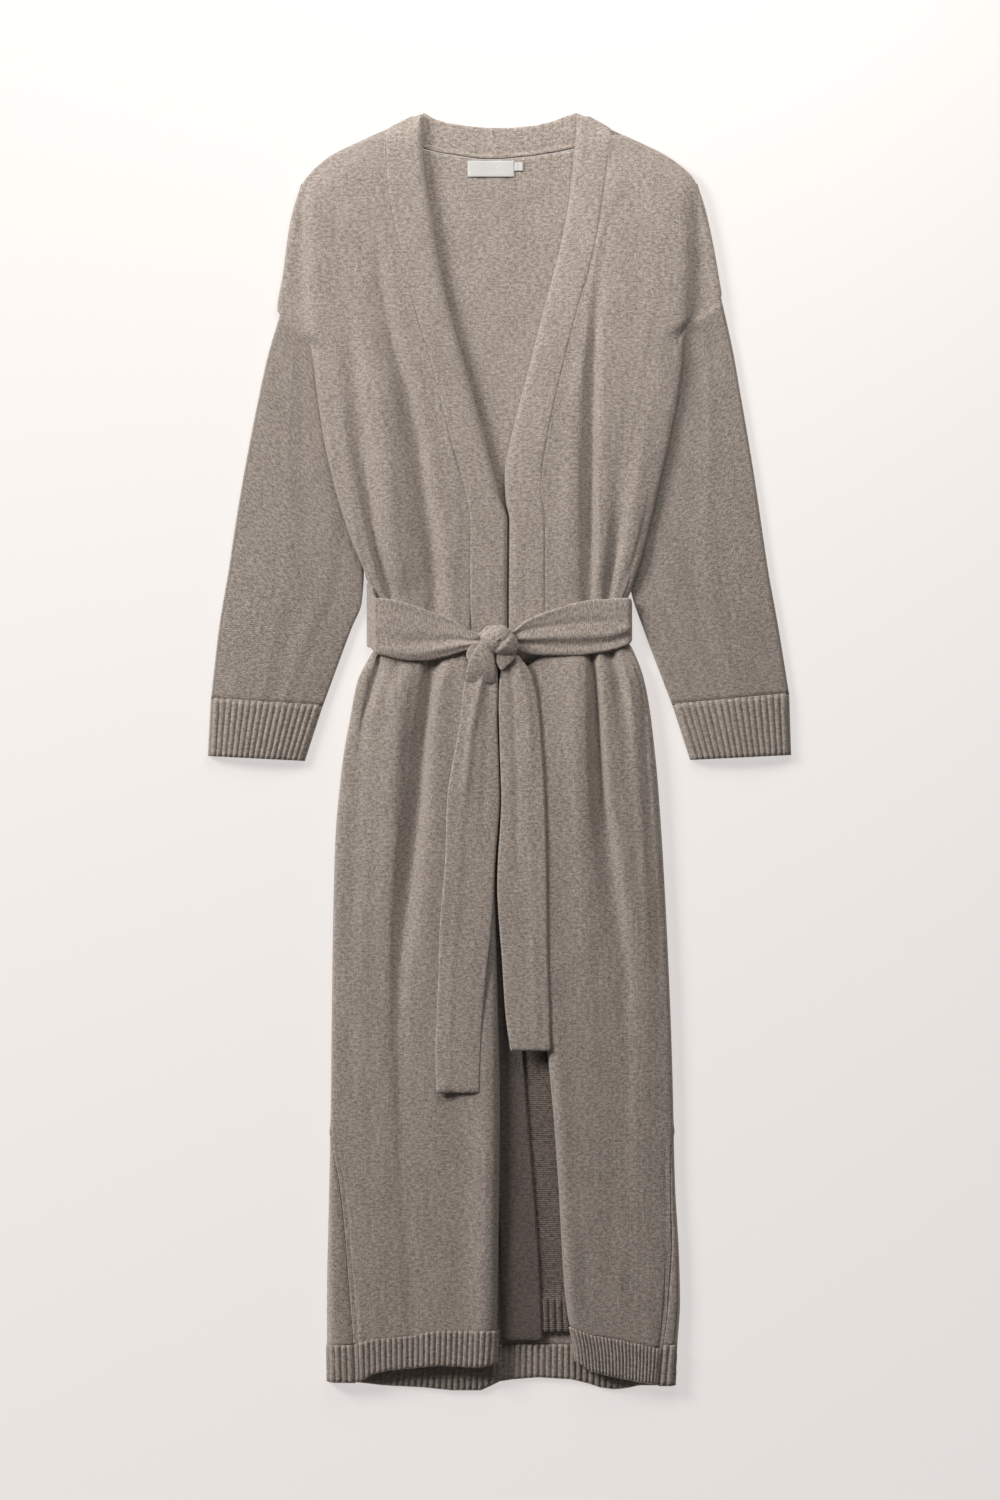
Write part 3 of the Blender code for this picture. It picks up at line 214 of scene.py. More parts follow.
# Folds of the front on the wearer's right, from the side inwards: (down, across, height)
RIGHT_FOLDS = {
    "gutter": (
        (136, 376, 9.3), (158, 338, 11.0), (190, 308, 11.5), (215, 301, 9.8), (250, 301, 8.9),
        (300, 302, 8.8), (335, 304, 8.8), (354, 322, 17.0), (391, 327, 17.6), (434, 333, 17.8),
        (480, 343, 17.8), (539, 359, 17.5), (588, 377, 15.0), (604, 381, 13.0), (648, 378, 12.0),
        (690, 366, 14.0), (760, 354, 13.2), (860, 346, 12.8), (1000, 343, 12.2), (1400, 339, 12.0),
    ),
    "lip": (
        (136, 377, 9.8), (158, 343, 12.0), (190, 313, 14.5), (215, 306, 15.0), (250, 307.5, 16.0),
        (300, 308.5, 16.5), (335, 312, 16.8), (354, 327, 18.0), (391, 334, 18.6), (434, 340, 18.6),
        (480, 350, 18.4), (539, 364, 17.8), (588, 379, 15.0), (604, 384, 13.2), (654, 380.5, 9.4),
        (694, 371, 11.0), (725, 362, 12.4), (760, 361, 13.5), (860, 355, 13.4), (1000, 352, 13.0),
        (1400, 350, 12.6),
    ),
    "shoulder_roll": (
        (136, 378.5, 10.0), (158, 348, 12.6), (190, 320, 16.2), (215, 314, 18.0), (250, 315, 19.0),
        (300, 316, 19.5), (335, 319, 19.5), (354, 334, 19.3), (391, 341, 19.6), (434, 347, 19.0),
        (480, 355, 18.4), (539, 367.5, 17.5), (588, 381, 14.6), (604, 387, 13.3), (660, 384, 13.8),
        (694, 379, 18.0), (725, 372, 17.4), (760, 369, 16.4), (860, 364, 15.6), (1000, 361, 14.8),
        (1400, 360, 13.6),
    ),
    "valley_outer": (
        (136, 380, 10.3), (190, 334, 17.4), (270, 341, 18.6), (330, 351, 17.4), (380, 356, 16.0),
        (440, 361, 14.0), (500, 369, 12.0), (540, 374, 10.8), (570, 382, 9.2), (597, 390, 8.6),
        (650, 391, 13.0), (694, 387, 19.4), (760, 380, 19.0), (860, 375, 17.6), (1000, 371, 15.8),
        (1400, 371, 14.2),
    ),
    "ridge": (
        (136, 381.5, 10.6), (190, 346, 18.0), (270, 353, 19.4), (330, 362, 20.4), (403, 372, 22.0),
        (473, 381, 22.6), (535, 387, 22.0), (570, 393, 19.5), (600, 400, 14.0), (661, 398, 13.8),
        (694, 396, 21.5), (760, 391, 22.0), (860, 386, 20.4), (1000, 382, 17.2), (1400, 384, 14.8),
    ),
    "valley_lip": (
        (136, 383, 10.9), (190, 358, 18.0), (255, 364, 18.8), (294, 369, 18.8), (342, 378, 18.6),
        (391, 391, 19.4), (439, 397, 19.8), (500, 404, 19.8), (560, 410, 18.5), (600, 413, 14.0),
        (650, 410, 13.8), (661, 409, 14.2), (674, 408, 18.2), (700, 405, 20.5), (750, 400, 21.4),
        (800, 397, 21.2), (850, 394, 20.6), (922, 391, 19.2), (984, 389, 17.6), (1045, 388, 16.6),
        (1400, 396, 15.0),
    ),
    "valley_step": (
        (136, 383.6, 11.0), (190, 366, 18.0), (255, 371, 18.2), (294, 376, 17.0), (342, 385, 16.0),
        (391, 398, 15.4), (439, 406, 15.0), (500, 415, 14.6), (560, 421, 14.2), (600, 424, 12.0),
        (650, 421, 11.5), (664, 420.5, 13.0), (700, 417, 13.6), (750, 410, 14.0), (800, 406, 14.4),
        (850, 402, 15.2), (922, 397, 15.6), (984, 394, 15.8), (1045, 393, 15.8), (1400, 404, 15.0),
    ),
    "valley_main": (
        (136, 384.2, 11.1), (190, 374, 18.0), (255, 379, 16.8), (294, 384, 14.4), (342, 393, 12.2),
        (391, 406, 9.6), (439, 416, 8.2), (500, 426, 7.6), (560, 433, 7.4), (600, 436, 7.4),
        (650, 433, 7.2), (664, 433, 7.0), (700, 428.5, 7.0), (750, 423, 7.0), (800, 419, 7.6),
        (850, 414, 9.2), (922, 406, 11.8), (984, 400, 14.0), (1045, 398, 15.0), (1400, 412, 15.0),
    ),
    "valley_crest": (
        (136, 384.5, 11.2), (190, 379, 17.6), (255, 388, 18.6), (294, 394, 18.6), (342, 403, 18.4),
        (391, 417, 18.2), (439, 428, 17.8), (500, 438, 17.2), (560, 446, 16.4), (600, 449, 13.8),
        (650, 445, 13.8), (659, 444.5, 14.2), (674, 442, 19.2), (700, 437, 21.0), (750, 432, 21.8),
        (800, 430, 21.6), (850, 426, 21.2), (922, 418, 20.0), (984, 413, 18.4), (1045, 412, 17.6),
        (1400, 428, 15.6),
    ),
    "middle": (
        (136, 384.8, 11.3), (190, 383, 17.2), (255, 395, 18.0), (342, 415, 18.0), (439, 440, 17.2),
        (521, 455, 16.2), (600, 460, 13.8), (652, 458, 13.8), (668, 457, 17.0), (725, 455, 19.6),
        (800, 456, 20.2), (900, 456, 19.6), (1045, 458, 18.8), (1400, 462, 16.6),
    ),
}

# Folds of the front on the wearer's left, from the side inwards: (down, across, height)
LEFT_FOLDS = {
    "gutter": (
        (136, 622, 9.3), (158, 660, 11.0), (190, 690, 11.5), (215, 697, 9.4), (250, 697, 8.9),
        (300, 694, 8.8), (322, 691, 8.8), (341, 675, 17.0), (367, 673, 17.6), (410, 667, 17.8),
        (449, 659, 17.8), (480, 652, 17.8), (535, 640, 17.5), (591, 626, 14.4), (604, 623, 13.0),
        (650, 630, 12.0), (676, 637, 15.0), (705, 642, 14.0), (745, 646, 13.0), (980, 659, 12.6),
        (1400, 665, 12.0),
    ),
    "lip": (
        (136, 620.5, 9.8), (158, 655, 12.0), (190, 685, 14.5), (215, 687, 15.0), (250, 687, 16.0),
        (300, 685.5, 16.5), (322, 684, 16.8), (341, 669, 18.0), (367, 666, 18.6), (410, 660, 18.8),
        (449, 652, 19.2), (480, 645, 19.6), (520, 640, 20.0), (550, 632, 19.4), (591, 621, 14.4),
        (604, 618, 13.2), (650, 625, 13.0), (676, 631, 17.0), (705, 636, 17.0), (745, 640, 16.6),
        (980, 653, 14.4), (1400, 656, 12.8),
    ),
    "shoulder_roll": (
        (136, 619, 10.0), (158, 649, 12.6), (190, 678, 16.2), (215, 680, 18.0), (250, 680, 19.0),
        (300, 678, 19.5), (322, 676, 19.5), (341, 661, 19.3), (367, 656, 19.6), (410, 649, 20.2),
        (450, 641, 21.0), (500, 634, 21.6), (520, 630, 21.2), (550, 624, 19.6), (590, 616, 14.6),
        (604, 613.5, 13.6), (650, 617, 14.0), (676, 626, 18.2), (705, 631, 18.6), (745, 634, 18.8),
        (850, 643, 18.0), (980, 648, 15.8), (1400, 650, 13.4),
    ),
    "valley_outer": (
        (136, 617, 10.3), (190, 662, 17.4), (270, 663, 19.6), (367, 640, 19.6), (450, 626, 18.6),
        (500, 620, 17.0), (520, 618.5, 15.6), (550, 616, 12.8), (590, 609, 9.0), (604, 607.5, 8.6),
        (655, 611, 8.6), (664, 613.5, 10.0), (690, 621, 13.2), (720, 625.5, 16.0), (760, 628, 18.4),
        (850, 635, 18.8), (980, 643, 16.6), (1400, 645, 13.8),
    ),
    "ridge": (
        (136, 615.5, 10.6), (190, 642, 18.0), (270, 636, 19.8), (367, 618, 20.6), (450, 610, 21.0),
        (520, 606, 20.6), (550, 605, 19.2), (590, 602, 14.4), (604, 601, 13.8), (655, 603, 14.0),
        (676, 607, 18.6), (700, 609, 20.0), (750, 614, 20.6), (800, 618, 20.6), (850, 627, 20.2),
        (922, 634, 18.4), (980, 639, 17.0), (1400, 640, 14.2),
    ),
    "valley_crest": (
        (136, 614.5, 10.9), (190, 624, 18.0), (270, 610, 19.4), (300, 606, 19.4), (350, 602, 19.8),
        (390, 600, 20.2), (450, 598.5, 20.6), (520, 598, 20.6), (560, 598, 19.0), (600, 597, 13.8),
        (650, 598, 13.8), (664, 599, 17.0), (700, 602, 20.0), (750, 606, 20.8), (800, 610, 20.6),
        (850, 619, 19.8), (922, 628, 18.0), (980, 634, 16.6), (1163, 636, 15.8), (1400, 636, 14.6),
    ),
    "valley_main": (
        (136, 613.5, 11.0), (190, 614, 18.0), (270, 600, 17.6), (300, 597, 16.0), (350, 594, 13.4),
        (390, 593, 11.6), (450, 591, 9.2), (520, 590, 7.8), (600, 590, 7.4), (650, 591, 7.2),
        (664, 592.5, 7.0), (700, 595, 7.0), (750, 598, 7.2), (800, 602, 8.4), (850, 610, 10.8),
        (922, 618, 13.0), (980, 625, 14.4), (1163, 626, 14.8), (1400, 628, 14.4),
    ),
    "valley_lip": (
        (136, 612.7, 11.1), (190, 610, 17.6), (270, 594, 18.6), (300, 590, 18.6), (350, 584, 18.6),
        (390, 581, 18.6), (450, 578, 18.4), (520, 577, 17.6), (600, 577, 13.8), (650, 582, 13.8),
        (664, 585, 17.5), (700, 586, 20.2), (750, 586, 21.2), (800, 587, 21.2), (850, 590, 20.6),
        (922, 597, 19.2), (980, 604, 17.8), (1163, 608, 16.8), (1400, 612, 15.4),
    ),
    "middle": (
        (136, 612, 11.3), (190, 606.5, 17.2), (270, 591.5, 18.0), (350, 575, 18.0), (440, 560, 17.2),
        (521, 558, 16.2), (600, 559, 13.8), (650, 560, 13.8), (664, 558, 17.0), (725, 560, 19.6),
        (800, 564, 20.4), (922, 572, 19.8), (1045, 578, 19.2), (1163, 584, 18.6), (1400, 594, 16.0),
    ),
}

# Front bands: (down, seam across, seam height, edge across, edge top height, edge foot height)
RIGHT_BAND = (
    (117, 413, 6.0, 423.6, 9.0, 5.2), (123, 401, 6.2, 422.8, 11.0, 5.0),
    (130, 389, 6.5, 422.2, 12.0, 5.0), (136, 386, 11.4, 422.0, 12.5, 4.8),
    (150, 387, 13.5, 422.6, 13.0, 4.6), (181, 388, 16.0, 426, 13.5, 4.6),
    (220, 395, 16.9, 432, 13.5, 4.6), (264, 405, 17.2, 439, 13.5, 4.6), (301, 414, 17.2, 447, 13.5, 4.6),
    (371, 434, 17.0, 466, 13.5, 4.6), (440, 452, 16.4, 485, 13.5, 4.8),
    (472, 460.5, 16.0, 493, 13.5, 5.2), (500, 468, 15.6, 500.5, 13.5, 6.0),
    (521, 471, 15.3, 507.6, 13.5, 6.4), (560, 471, 14.4, 507.3, 13.2, 6.4),
    (600, 471, 13.4, 507, 12.2, 6.4), (636, 471, 12.0, 507, 11.0, 6.4), (655, 472, 9.2, 507.5, 9.2, 6.5),
    (700, 474, 9.2, 510, 9.2, 6.5), (1000, 484, 9.2, 519, 9.2, 6.5), (1055, 487, 9.2, 522, 9.2, 6.5),
    (1270, 503, 9.2, 538, 9.2, 6.5), (1339, 504, 9.2, 541, 9.2, 6.5),
)
LEFT_BAND = (
    (117, 588, 6.0, 576.4, 9.0, 5.2), (123, 598, 6.2, 576.4, 11.0, 5.0),
    (130, 609, 6.5, 576.0, 12.0, 5.0), (136, 610, 11.4, 575.6, 12.5, 4.8),
    (151, 608, 13.5, 574, 13.0, 4.6), (190, 603, 16.0, 570, 13.5, 4.6), (228, 597, 16.8, 564, 13.5, 4.6),
    (263, 590, 17.2, 556, 13.5, 4.6), (304, 578, 17.2, 545, 13.5, 4.6), (371, 561, 17.0, 528, 13.5, 4.6),
    (440, 546, 16.4, 510.5, 13.5, 4.8), (473, 541, 16.0, 504.5, 13.5, 5.2),
    (500, 542, 15.6, 505.5, 13.5, 6.0), (521, 544, 15.3, 509.0, 13.5, 6.4),
    (560, 544, 14.4, 508.7, 13.2, 6.4), (600, 544, 13.4, 508.5, 12.2, 6.4),
    (640, 544, 13.2, 508.5, 11.0, 6.4),
)

# Sleeves: (armhole to cuff share, outer across, outer down, inner across, inner down, crown share)
RIGHT_SLEEVE = (
    (0.00, 279, 318.6, 335, 365, 0.1), (0.16, 268, 356, 341, 414, 0.5), (0.28, 260, 392, 348, 452, 0.65),
    (0.56, 243, 480, 361, 535, 0.75), (0.68, 235, 528, 364, 572, 0.9), (0.78, 228, 575, 362, 602, 1.0),
    (0.87, 220, 622, 351, 630, 1.0), (1.00, 211, 699, 323, 706, 0.95),
)
LEFT_SLEEVE = (
    (0.00, 722.5, 304.2, 660, 352, 0.3), (0.16, 733, 352, 655, 402, 0.5),
    (0.28, 740, 392, 649, 440, 0.65), (0.56, 755, 482, 631, 524, 0.75), (0.68, 762, 530, 626, 564, 0.9),
    (0.78, 769, 576, 632, 596, 1.0), (0.87, 777, 620, 643, 628, 1.0), (1.00, 789, 694, 672, 705, 0.95),
)
RIGHT_CUFF = ((0.0, 210.85, 699.38, 322.8, 706.38, 0.95), (1.0, 208, 756, 305, 761, 0.9))
LEFT_CUFF = ((0.0, 789.15, 694.38, 672.2, 705.38, 0.95), (1.0, 791, 755, 690, 760, 0.9))

# Back: edge of the flat cloth at each side where it doesn't reach the side of a front: (down, across)
BACK_RIGHT_EDGE = (
    (184, 302), (198, 297), (225, 290), (275, 283), (308, 278), (316, 281), (333, 298), (344, 312),
    (365, 336.4), (414, 341.8), (452, 348.8), (535, 361.8), (572, 364.9), (578, 366), (600, 376),
    (640, 376),
)
BACK_LEFT_EDGE = (
    (184, 697), (199, 702), (221, 708), (275, 718), (296, 721), (302, 720), (316, 704), (330, 688),
    (352, 658.4), (402, 654.2), (440, 648.2), (524, 630.2), (564, 625.1), (578, 625.5), (600, 627),
    (640, 627),
)
# Top of the back between its side rims: (across, down)
BACK_TOP_LINE = (
    (317, 168), (343, 149.5), (374, 135), (401, 123.5), (424, 150), (441, 154), (460, 157), (480, 160),
    (502, 160), (533, 157), (558, 153), (576, 149), (599, 124.5), (622, 135), (650, 148.5), (684, 169),
)
# The neck band runs between these two points of that line; its own top is (across, down)
NECK_FROM = 3
NECK_TO = 12
NECK_TOP = (
    (402, 122), (415, 117.5), (424, 114), (434, 120), (447, 124), (466, 127), (487, 129), (512, 129),
    (533, 127), (551, 123), (564, 118), (576, 114), (585, 117.5), (598, 123),
)

# Hem lines: (across, down)
RIGHT_HEM_TOP = ((320, 1350), (349, 1346), (369, 1339), (406, 1336), (431, 1331), (446, 1330), (505, 1330))
RIGHT_HEM_END = (
    (320, 1381), (329, 1381), (358, 1380), (366, 1376), (375, 1371), (389, 1368), (412, 1366),
    (440, 1363), (475, 1365), (490, 1363), (505, 1360),
)
LEFT_HEM_TOP = ((560, 1325), (572, 1327), (592, 1335), (617, 1339), (640, 1344), (655, 1348), (685, 1354))
LEFT_HEM_END = (
    (560, 1352), (569, 1354), (573, 1358), (591, 1369), (606, 1373), (635, 1379), (645, 1381),
    (675, 1384), (690, 1384),
)
BACK_HEM_END = (
    (300, 1380), (358, 1381), (384, 1384), (423, 1386), (452, 1389), (481, 1389), (490, 1385),
    (500, 1380), (513, 1378), (538, 1376), (555, 1377), (571, 1378), (588, 1382), (600, 1386),
    (614, 1388), (625, 1387), (640, 1384), (700, 1384),
)
HEM_BLEND_FROM = 1290.0
# Belt stretches: (across, top edge down, bottom edge down, height)
BELT_RIGHT = (
    (366.8, 584, 646, 3.0), (369.5, 584.5, 647, 9.0), (373, 588, 650, 13.5), (374.6, 596, 652, 15.4),
    (376, 598.5, 653, 16.6), (390, 600, 657, 17.6), (408, 604, 660.5, 17.8), (425, 610, 660.5, 18.0),
    (440, 615, 658, 18.4), (453, 620, 654.5, 19.2), (464, 627, 651, 20.6), (473, 632, 649, 22.0),
    (482, 634, 647, 22.6), (490, 635, 646, 22.6),
)
BELT_LEFT = (
    (632, 604, 640, 7.0), (631, 600, 642, 13.0), (627, 599, 644.5, 16.6), (610, 600, 650, 17.6),
    (592, 601, 653, 17.8), (577, 603.5, 655, 18.0), (560, 608, 655, 18.4), (547, 612, 655, 19.2),
    (534, 617, 654.5, 20.6), (524, 622, 653, 22.0), (517, 628, 650, 22.6), (509, 634, 648, 22.6),
)
# Tails: (down, left across, right across, least height)
TAIL_LONG = (
    (657, 472, 492, 22.6), (664, 470, 496, 21.6), (676, 467, 497, 21.0), (690, 464, 497, 20.5),
    (720, 461, 496.5, 20.0), (760, 454, 498, 20.0), (800, 448, 499, 20.0), (861, 446, 494.5, 20.0),
    (922, 441, 491.5, 20.0), (984, 439, 485, 20.0), (1035, 437, 481, 20.0), (1070, 436.5, 480, 20.0),
    (1091, 437, 479, 20.0),
)
TAIL_SHORT = (
    (656, 502, 519, 22.6), (671, 501, 529, 21.5), (685, 500, 534, 21.0), (702, 499.5, 537, 21.0),
    (748, 500.5, 541, 21.5), (800, 502, 544, 21.8), (882, 498, 546, 21.8), (963, 503, 547, 21.8),
    (1010, 506, 549, 21.8), (1049, 511, 549.5, 21.8),
)

# Label: (left, top, right, bottom) in chart units
NECK_LABEL = (468.0, 161.5, 514.0, 177.0)
SIZE_TAB = (514.6, 163.0, 523.0, 171.0)

# Back pleat: (down, left across, right across)
BACK_PLEAT = ((1000, 512, 562), (1060, 514, 566), (1160, 517, 574), (1296, 522, 582), (1331, 522, 584))
PLEAT_RIB_FROM = 1296.0


# Soft creases laid over the folds: (width in units, height in millimetres, points as down and across)
RIGHT_CREASES = (
    (3.2, 0.9, ((420, 344), (500, 351), (560, 361), (592, 367))),
    (5.0, 1.6, ((655, 424), (700, 417), (760, 409), (830, 402))),
    (7.0, 0.8, ((240, 425), (400, 452), (520, 458), (600, 456))),
    (6.0, 0.7, ((330, 372), (420, 384), (520, 394), (590, 401))),
    (5.0, 0.8, ((670, 463), (760, 462), (900, 470), (1040, 474))),
    (9.0, 0.9, ((880, 430), (1010, 434), (1160, 440), (1320, 446))),
    (11.0, 3.4, ((1040, 487), (1120, 487), (1240, 486), (1370, 484))),
    (8.0, -0.8, ((900, 392), (1040, 402), (1200, 410), (1330, 412))),
)
LEFT_CREASES = (
    (4.0, 0.9, ((200, 668), (300, 652), (400, 636), (480, 622))),
    (6.0, 0.7, ((300, 600), (400, 572), (520, 566), (600, 567))),
    (5.0, 0.9, ((668, 571), (760, 574), (900, 584), (1040, 592))),
    (9.0, 0.9, ((880, 612), (1010, 618), (1160, 624), (1320, 620))),
    (8.0, -0.7, ((900, 560), (1040, 566), (1200, 574), (1330, 585))),
    (4.0, 0.8, ((660, 643), (720, 648), (800, 652), (900, 656))),
)
# Creases of the sleeves: (width, height, points as share along and share across)
SLEEVE_CREASES = (
    (0.045, 0.9, ((0.05, 0.30), (0.4, 0.34), (0.75, 0.42), (1.0, 0.44))),
    (0.06, -0.8, ((0.1, 0.46), (0.45, 0.50), (0.8, 0.56), (1.0, 0.58))),
    (0.05, 0.8, ((0.3, 0.70), (0.6, 0.76), (0.8, 0.72), (0.95, 0.66))),
    (0.04, -0.7, ((0.55, 0.86), (0.72, 0.84), (0.9, 0.78), (1.0, 0.74))),
)
LONG_TAIL_CREASES = (
    (4.5, 2.6, ((650, 489), (672, 484), (700, 477), (735, 470), (790, 466))),
    (5.0, -1.2, ((668, 492), (710, 488), (760, 486), (820, 484))),
    (4.0, 0.9, ((800, 462), (880, 458), (960, 452), (1040, 448))),
)
SHORT_TAIL_CREASES = (
    (4.0, 1.6, ((655, 515), (675, 522), (705, 529), (760, 531))),
    (4.0, -1.4, ((660, 508), (700, 513), (760, 516), (850, 517))),
    (5.0, 0.8, ((800, 530), (880, 532), (960, 534), (1040, 536))),
)
# Lifted corner of each tail: (across, down, height, reach)
LONG_TAIL_CURL = (441, 1089, 4.0, 9.0)
SHORT_TAIL_CURL = (548, 1047, 1.0, 8.0)
# Belt stretches: (width as a share, height, points as share along and share across from the top edge)
BELT_RIGHT_CREASES = (
    (0.10, 2.2, ((0.35, 0.90), (0.6, 0.82), (0.85, 0.72), (1.0, 0.66))),
    (0.10, -1.6, ((0.45, 0.66), (0.65, 0.60), (0.85, 0.54), (1.0, 0.50))),
    (0.05, 0.9, ((0.1, 0.03), (0.4, 0.03), (0.75, 0.05), (1.0, 0.10))),
)
BELT_LEFT_CREASES = (
    (0.09, 1.8, ((0.05, 0.64), (0.3, 0.70), (0.55, 0.62), (0.95, 0.52))),
    (0.10, -1.8, ((0.1, 0.86), (0.35, 0.84), (0.6, 0.78), (0.95, 0.66))),
    (0.08, -1.4, ((0.35, 0.40), (0.6, 0.36), (0.8, 0.30), (1.0, 0.28))),
    (0.05, 0.8, ((0.5, 0.04), (0.7, 0.05), (0.85, 0.08), (1.0, 0.12))),
)
# Knot: middle, foot height and top height of its main lump, and its outline as (across, down)
KNOT_MIDDLE = (498.0, 640.5)
KNOT_FOOT = 23.5
KNOT_TOP = 35.6
# Wraps over the lump: direction that they are set out along, then (height, place, width) of each
KNOT_SLANT = (0.72, 0.69)
KNOT_WRAPS = ((0.9, 9.0, 2.6), (-1.3, 5.0, 1.8), (-1.0, -9.5, 2.0))
KNOT_OUTLINE = (
    (480, 637), (485, 632), (492, 627.5), (499, 625), (506, 627), (512, 633), (517, 640), (517.5, 648),
    (515, 655), (508, 656), (500, 655), (493, 652), (487, 649), (482, 644),
)

# Loose folds of the knot: rows of (across, down, half width, height) from under the lump outwards
KNOT_FOLDS = (
    ((509, 650, 7.0, 27.0), (508, 656, 7.5, 27.5), (508, 661, 5.5, 26.4), (508.5, 665, 1.5, 25.4)),
    ((502, 652, 6.0, 25.4), (502, 660, 6.0, 25.8), (502.5, 666, 4.5, 25.2), (502, 670, 2.0, 24.6)),
    ((479, 645, 4.0, 24.2), (474, 650, 5.0, 24.4), (470.5, 656, 4.0, 23.8), (470, 663, 1.0, 23.0)),
    (
        (489, 641, 4.5, 27.6), (485.5, 649, 8.0, 28.6), (483, 659, 11.4, 27.6), (481.5, 670, 14.0, 25.6),
        (481, 684, 15.4, 20.4),
    ),
    ((500, 632, 6.0, 26.5), (491, 632, 5.5, 27.2), (484, 634, 3.6, 26.6), (478, 637, 1.2, 25.6)),
)

# All that shapes one front: its tables, its creases and the seed of its uneven lie
RIGHT_FRONT = (RIGHT_SIDE, RIGHT_WRAP, RIGHT_FOLDS, RIGHT_INNER, RIGHT_CREASES, 11)
LEFT_FRONT = (LEFT_SIDE, LEFT_WRAP, LEFT_FOLDS, LEFT_INNER, LEFT_CREASES, 23)
BAND_SEED = 37
NECK_SEED = 71
FRONT_STATIONS = (*range(136, 1290, 5), *range(1290, 1341, 5))
HEM_STATIONS = tuple(np.linspace(1340.0, 1375.0, 14))

# Mixed fibres of the yarn: lumps for a metre, stretch along the wales, detail and share of the tone
FIBRE_LAYERS = {
    "fine": (640.0, 0.8, 2.0, 1.3), "flock": (230.0, 0.6, 3.0, 1.2),
    "cloud": (34.0, 1.2, 2.0, 0.22), "streak": (120.0, 0.16, 2.0, 0.4),
}
# Tones from the darkest fibres to the lightest: place on the ramp, gain and tint of the yarn's colour
FIBRE_TONES = (
    (0.0, 0.50, (1.0, 0.95, 0.90)), (0.36, 0.83, (1.0, 0.99, 0.97)),
    (0.62, 1.09, (1.0, 1.0, 1.0)), (1.0, 1.5, (1.0, 1.01, 1.03)),
)
# The loops' relief also sets the tone around this middle and by this share: painted shade between loops and
# painted highlight on their legs
LOOP_MIDDLE = 0.45
LOOP_SHADE_SHARE = 0.26
PURL_CONTRAST = 1.7
# Loops: lean of their legs, roundness of a leg, and the shares of their relief that rise and stay
LOOP_LEAN = 1.1
LEG_ROUND = 0.6
LOOP_RISE = (0.6, 0.4)
PURL_RISE = (0.45, 0.55)
# How columns of loops wander, as noise (lumps for a metre, stretch, detail) and metres
WANDER = (90.0, 2.0, 1.0)
WANDER_WIDTH = 0.0016
# Fuzz on the cloth as noise, and the shares of loops, fuzz and flock in its relief
FUZZ = (900.0, 1.2, 2.0)
RELIEF_SHARES = (0.75, 0.45, 0.5)
KNIT_BUMP = 0.75
MATT_LEAST = 0.84
MATT_SPREAD = 0.12
NAP_ROUGHNESS = 0.6
NAP_TINT = (1.0, 0.96, 0.92, 1.0)
# Turn of the tape's threads, in radians for a metre
WARP_TURN = 7800.0
WEFT_TURN = 6200.0

# Stage: lights stand at a place and face an aim, in metres; the camera sees the whole chart
KEY_PLACE = (-3.0, 1.9, 2.0)
KEY_AIM = (0.0, 0.2, 0.0)
KEY_SIZE = 1.5
TOP_PLACE = (0.2, 1.15, 0.75)
TOP_AIM = (0.0, 0.35, 0.0)
TOP_SIZE = 0.9
LAMP_COLOUR = (1.0, 0.985, 0.965)
SKY_COLOUR = (1.0, 0.985, 0.97, 1.0)
FLOOR_HALF = 6.0
FLOOR_LEVEL = -0.0004
SENSOR = 36.0
CHART_HEIGHT = 1500.0
FRONTS = ["knit_front_right_panel", "knit_front_left_panel"]

# Armhole lines of the sleeves, filled in as they are made
SEAM_LINES = {}


def place(across, down, height):
    """Chart position and height in millimetres to metres."""
    x = (np.asarray(across, float) - CENTRE_ACROSS) * CHART_UNIT
    y = (MIDDLE_DOWN - np.asarray(down, float)) * CHART_UNIT
    z = np.asarray(height, float) * MM
    return np.stack(np.broadcast_arrays(x, y, z), axis=-1)


def along(table, column, at):
    """Value of one column of a table at positions in its first column, monotone cubic."""
    rows = np.asarray(table, float)
    x = rows[:, 0]
    v = rows[:, column]
    h = np.diff(x)
    d = np.diff(v) / h
    slope = np.zeros_like(v)
    for i in range(1, len(v) - 1):
        if d[i - 1] * d[i] > 0.0:
            w1 = 2.0 * h[i] + h[i - 1]
            w2 = h[i] + 2.0 * h[i - 1]
            slope[i] = (w1 + w2) / (w1 / d[i - 1] + w2 / d[i])
    slope[0] = d[0]
    slope[-1] = d[-1]
    at = np.clip(np.asarray(at, float), x[0], x[-1])
    k = np.clip(np.searchsorted(x, at, side="right") - 1, 0, len(h) - 1)
    t = (at - x[k]) / h[k]
    a = (1.0 + 2.0 * t) * (1.0 - t) ** 2 * v[k]
    b = t * (1.0 - t) ** 2 * h[k] * slope[k]
    c = t ** 2 * (3.0 - 2.0 * t) * v[k + 1]
    e = t ** 2 * (t - 1.0) * h[k] * slope[k + 1]
    return a + b + c + e


